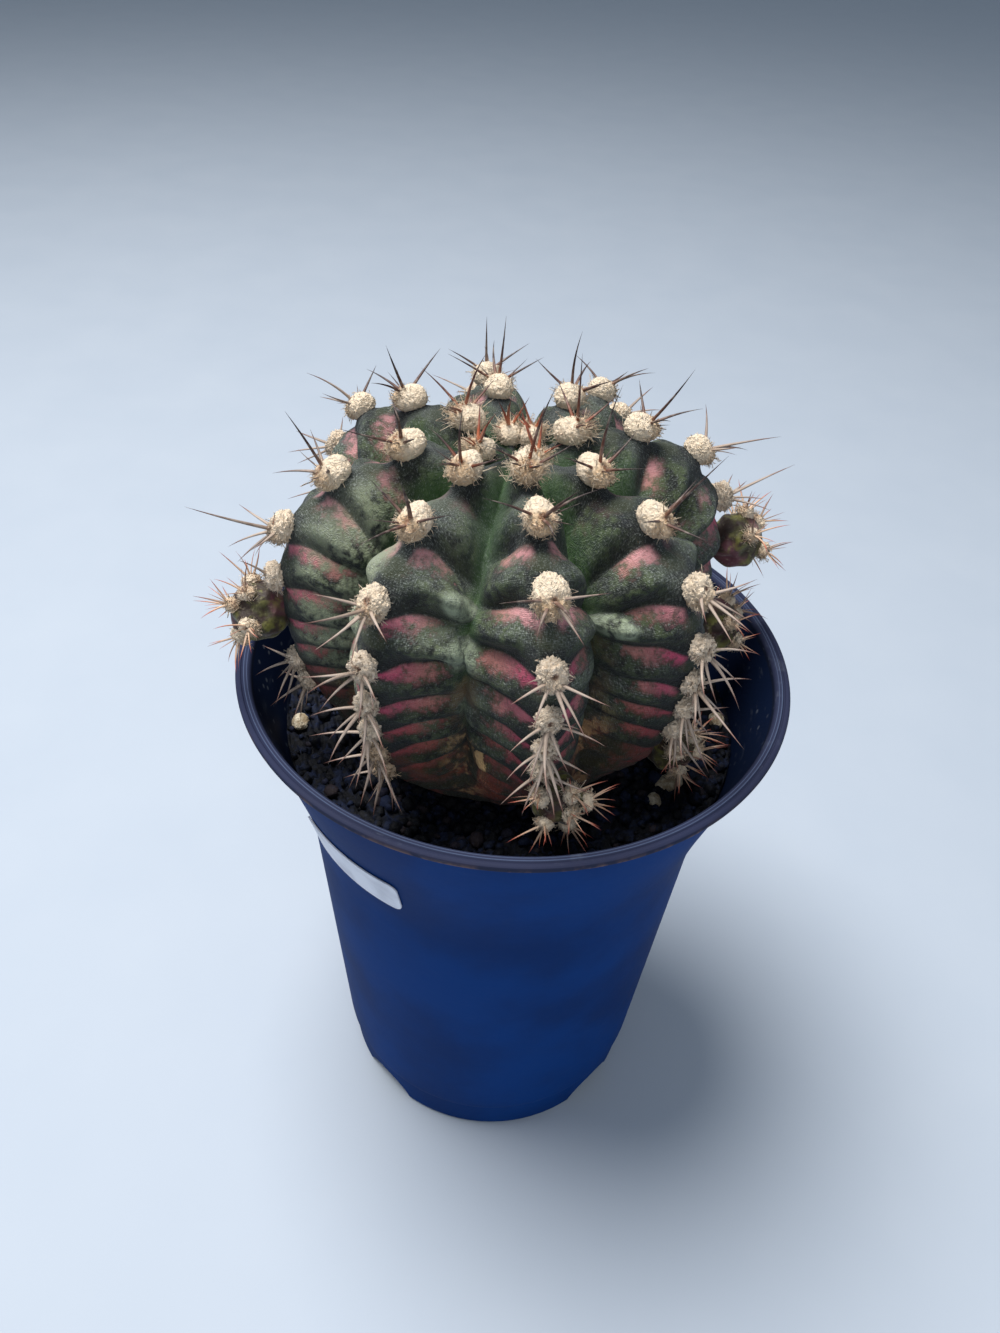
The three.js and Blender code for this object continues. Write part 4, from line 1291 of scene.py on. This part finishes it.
def soilCrumbs():
    # loose granules of the mix: small rounded lumps, half sunk
    rng = np.random.default_rng(21)
    bm = bmesh.new()
    bmesh.ops.create_cube(bm, size=1.2)
    bmesh.ops.subdivide_edges(bm, edges=bm.edges, cuts=1, use_grid_fill=True)
    for vert in bm.verts:
        vert.co = vert.co.normalized()
    count = soil["crumbs"]
    spots = []
    while len(spots) < count:
        azimuth, radius = rng.uniform(0, 360), math.sqrt(rng.uniform(20 ** 2, soilRadius ** 2))
        size = 0.45 + 0.85 * rng.random() ** 2
        x, y, z = around(radius, azimuth, soilTop)
        fromStem = math.hypot(x - stem["x"], y - stem["y"])
        if radius + size < soilRadius and fromStem - size > socketRadius(soilTop) - 0.2:
            spots.append((x, y, soilTop + float(crumbRise(x, y)) * 0.8 + 0.25 * size, size))
    spots = np.array(spots)
    mesh, local = repeated(meshFrom(bm, "crumb"), count, "soilCrumbs")
    stretch = rng.uniform(0.65, 1.15, (count, 1, 3))
    jag = rng.uniform(0.82, 1.12, local.shape[:2] + (1,))
    turn = rng.uniform(0, 2 * math.pi, (count, 1))
    shape = local * stretch * jag * spots[:, None, 3:4]
    x, y = swung(shape[:, :, 0], shape[:, :, 1], turn)
    points = np.stack([x, y, shape[:, :, 2]], axis=-1) + spots[:, None, :3]
    movePoints(mesh, points.reshape(-1, 3))
    shareOut(mesh, local.shape[1], tone=rng.random(count))
    return mesh


def makeSoil():
    earth = soilMaterial()
    bed = place("soil_bed", soilBed(), earth)
    crumbs = place("soil_crumbs", soilCrumbs(), earth)
    piece = joined([bed, crumbs], "soil_mix")
    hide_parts("soil")
    print("soil done:", len(piece.data.polygons), "faces")

gritColours = {"dark": (150, 132, 106), "light": (204, 194, 172), "speck": (92, 78, 62)}
grit = table(
    "name x y radius long turn seed",
    ("grit_left", -33.2, -6.9, 1.7, 1.15, 100, 3.0),
    ("grit_right", 33.9, 0.5, 1.6, 1.15, 80, 8.0),
    ("grit_front", 25.4, -13.8, 1.8, 1.5, 36, 5.0),
    ("grit_front_small", 22.6, -18, 1.2, 1.2, 110, 9.0))


def gritMaterial():
    paint = Paint("paleGrit", gritColours, Specular_IOR_Level=0.3)
    patches = paint.speckle(700, 4, 0.6)
    grain = paint.speckle(2600, 3)
    paint.base = paint.blend(patches.band(0.4, 0.62), "dark", "light")
    paint.coat(grain.band(0.55, 0.7) * 0.4, "speck")
    return paint.finished(0.8 + 0.15 * grain, patches + grain, 0.0004, 0.8)


def makeGrit():
    stone = gritMaterial()
    for bit in grit:
        mesh = shaped(bit["name"], bmesh.ops.create_icosphere, subdivisions=4,
                      radius=bit["radius"] * 0.94)
        points = pointsOf(mesh)
        bulge = 1 + 0.22 * lumps(points, 1.9, bit["seed"]) + 0.08 * lumps(points, 0.7, bit["seed"])
        x, y, z = (points * bulge[:, None] * [bit["long"], 0.85, 0.7]).T
        x, y = swung(x, y, math.radians(bit["turn"]))
        movePoints(mesh, np.stack([x + bit["x"], y + bit["y"], z + soilTop + 0.5], axis=-1))
        piece = place(bit["name"] + "_stone", mesh, stone)
        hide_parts(bit["name"])
    print("grit done")


# Floor, light and camera

studio = {
    "floor": (166, 176, 189),
    "floorLight": (200, 205, 211),
    "air": (0.70, 0.84, 1.0),
    "airStrength": 0.3,
    "focal": 1000 * 36 / 1333,
    "camera": (0.0, -119.7, 199.1),
    "yaw": -1.01,
    "pitch": 40.97,
    "roll": 3.61,
    # name, place, size, power and colour of each lamp
    "lamps": [("keyLight", (-0.22, 0.08, 0.85), 0.5, 11.5, (1.0, 0.98, 0.95)),
              ("fillLight", (0.15, -0.8, 0.55), 0.7, 2.3, (0.97, 0.98, 1.0))],
}


def makeFloor():
    mesh = shaped("floor", bmesh.ops.create_circle, cap_ends=True, segments=96, radius=4,
                  matrix=Matrix.Translation((0, 0, -0.0002)))
    paint = Paint("paleFloor", studio, Specular_IOR_Level=0.3)
    cloudy = paint.speckle(30, 3)
    paint.base = paint.blend(cloudy * 0.2, "floor", "floorLight")
    mesh.materials.append(paint.finished(0.6 + cloudy * 0.1))
    added("floor", mesh)


def makeLights():
    world = bpy.data.worlds.new("softAir")
    world.use_nodes = True
    air = world.node_tree.nodes["Background"]
    air.inputs["Color"].default_value = (*studio["air"], 1)
    air.inputs["Strength"].default_value = studio["airStrength"]
    scene.world = world
    for name, spot, size, power, colour in studio["lamps"]:
        lamp = bpy.data.lights.new(name, "AREA")
        lamp.shape = "DISK"
        lamp.size = size
        lamp.energy = power
        lamp.color = colour
        light = added(name, lamp)
        light.location = spot
        aim = Vector((0, 0, 0.1)) - Vector(spot)
        light.rotation_euler = aim.to_track_quat("-Z", "Y").to_euler()
    scene.view_settings.view_transform = "Standard"


def makeCamera():
    yaw, pitch, roll = (math.radians(studio[name]) for name in ("yaw", "pitch", "roll"))
    turn = (Matrix.Rotation(-yaw, 4, "Z") @ Matrix.Rotation(math.pi / 2 - pitch, 4, "X")
            @ Matrix.Rotation(roll, 4, "Z"))
    lens = bpy.data.cameras.new("camera")
    lens.sensor_width = 36
    lens.lens = studio["focal"]
    lens.clip_start = 0.01
    lens.clip_end = 50
    camera = added("camera", lens)
    camera.matrix_world = Matrix.Translation(Vector(studio["camera"]) * mm) @ turn
    scene.camera = camera


makeCamera()
makeFloor()
makeLights()
makePot()
makeLabel()
makeSoil()
makeGrit()
makeSkin()
feltMaterial = woolMaterial()
hornMaterial = spineHorn()
makeWool(feltMaterial)
makeSpines(hornMaterial)
fleshMaterial = offsetSkin()
for head, seat in zip(offsets, offsetSeats):
    makeOffset(head, seat, feltMaterial, hornMaterial, fleshMaterial)
print("offset heads done")
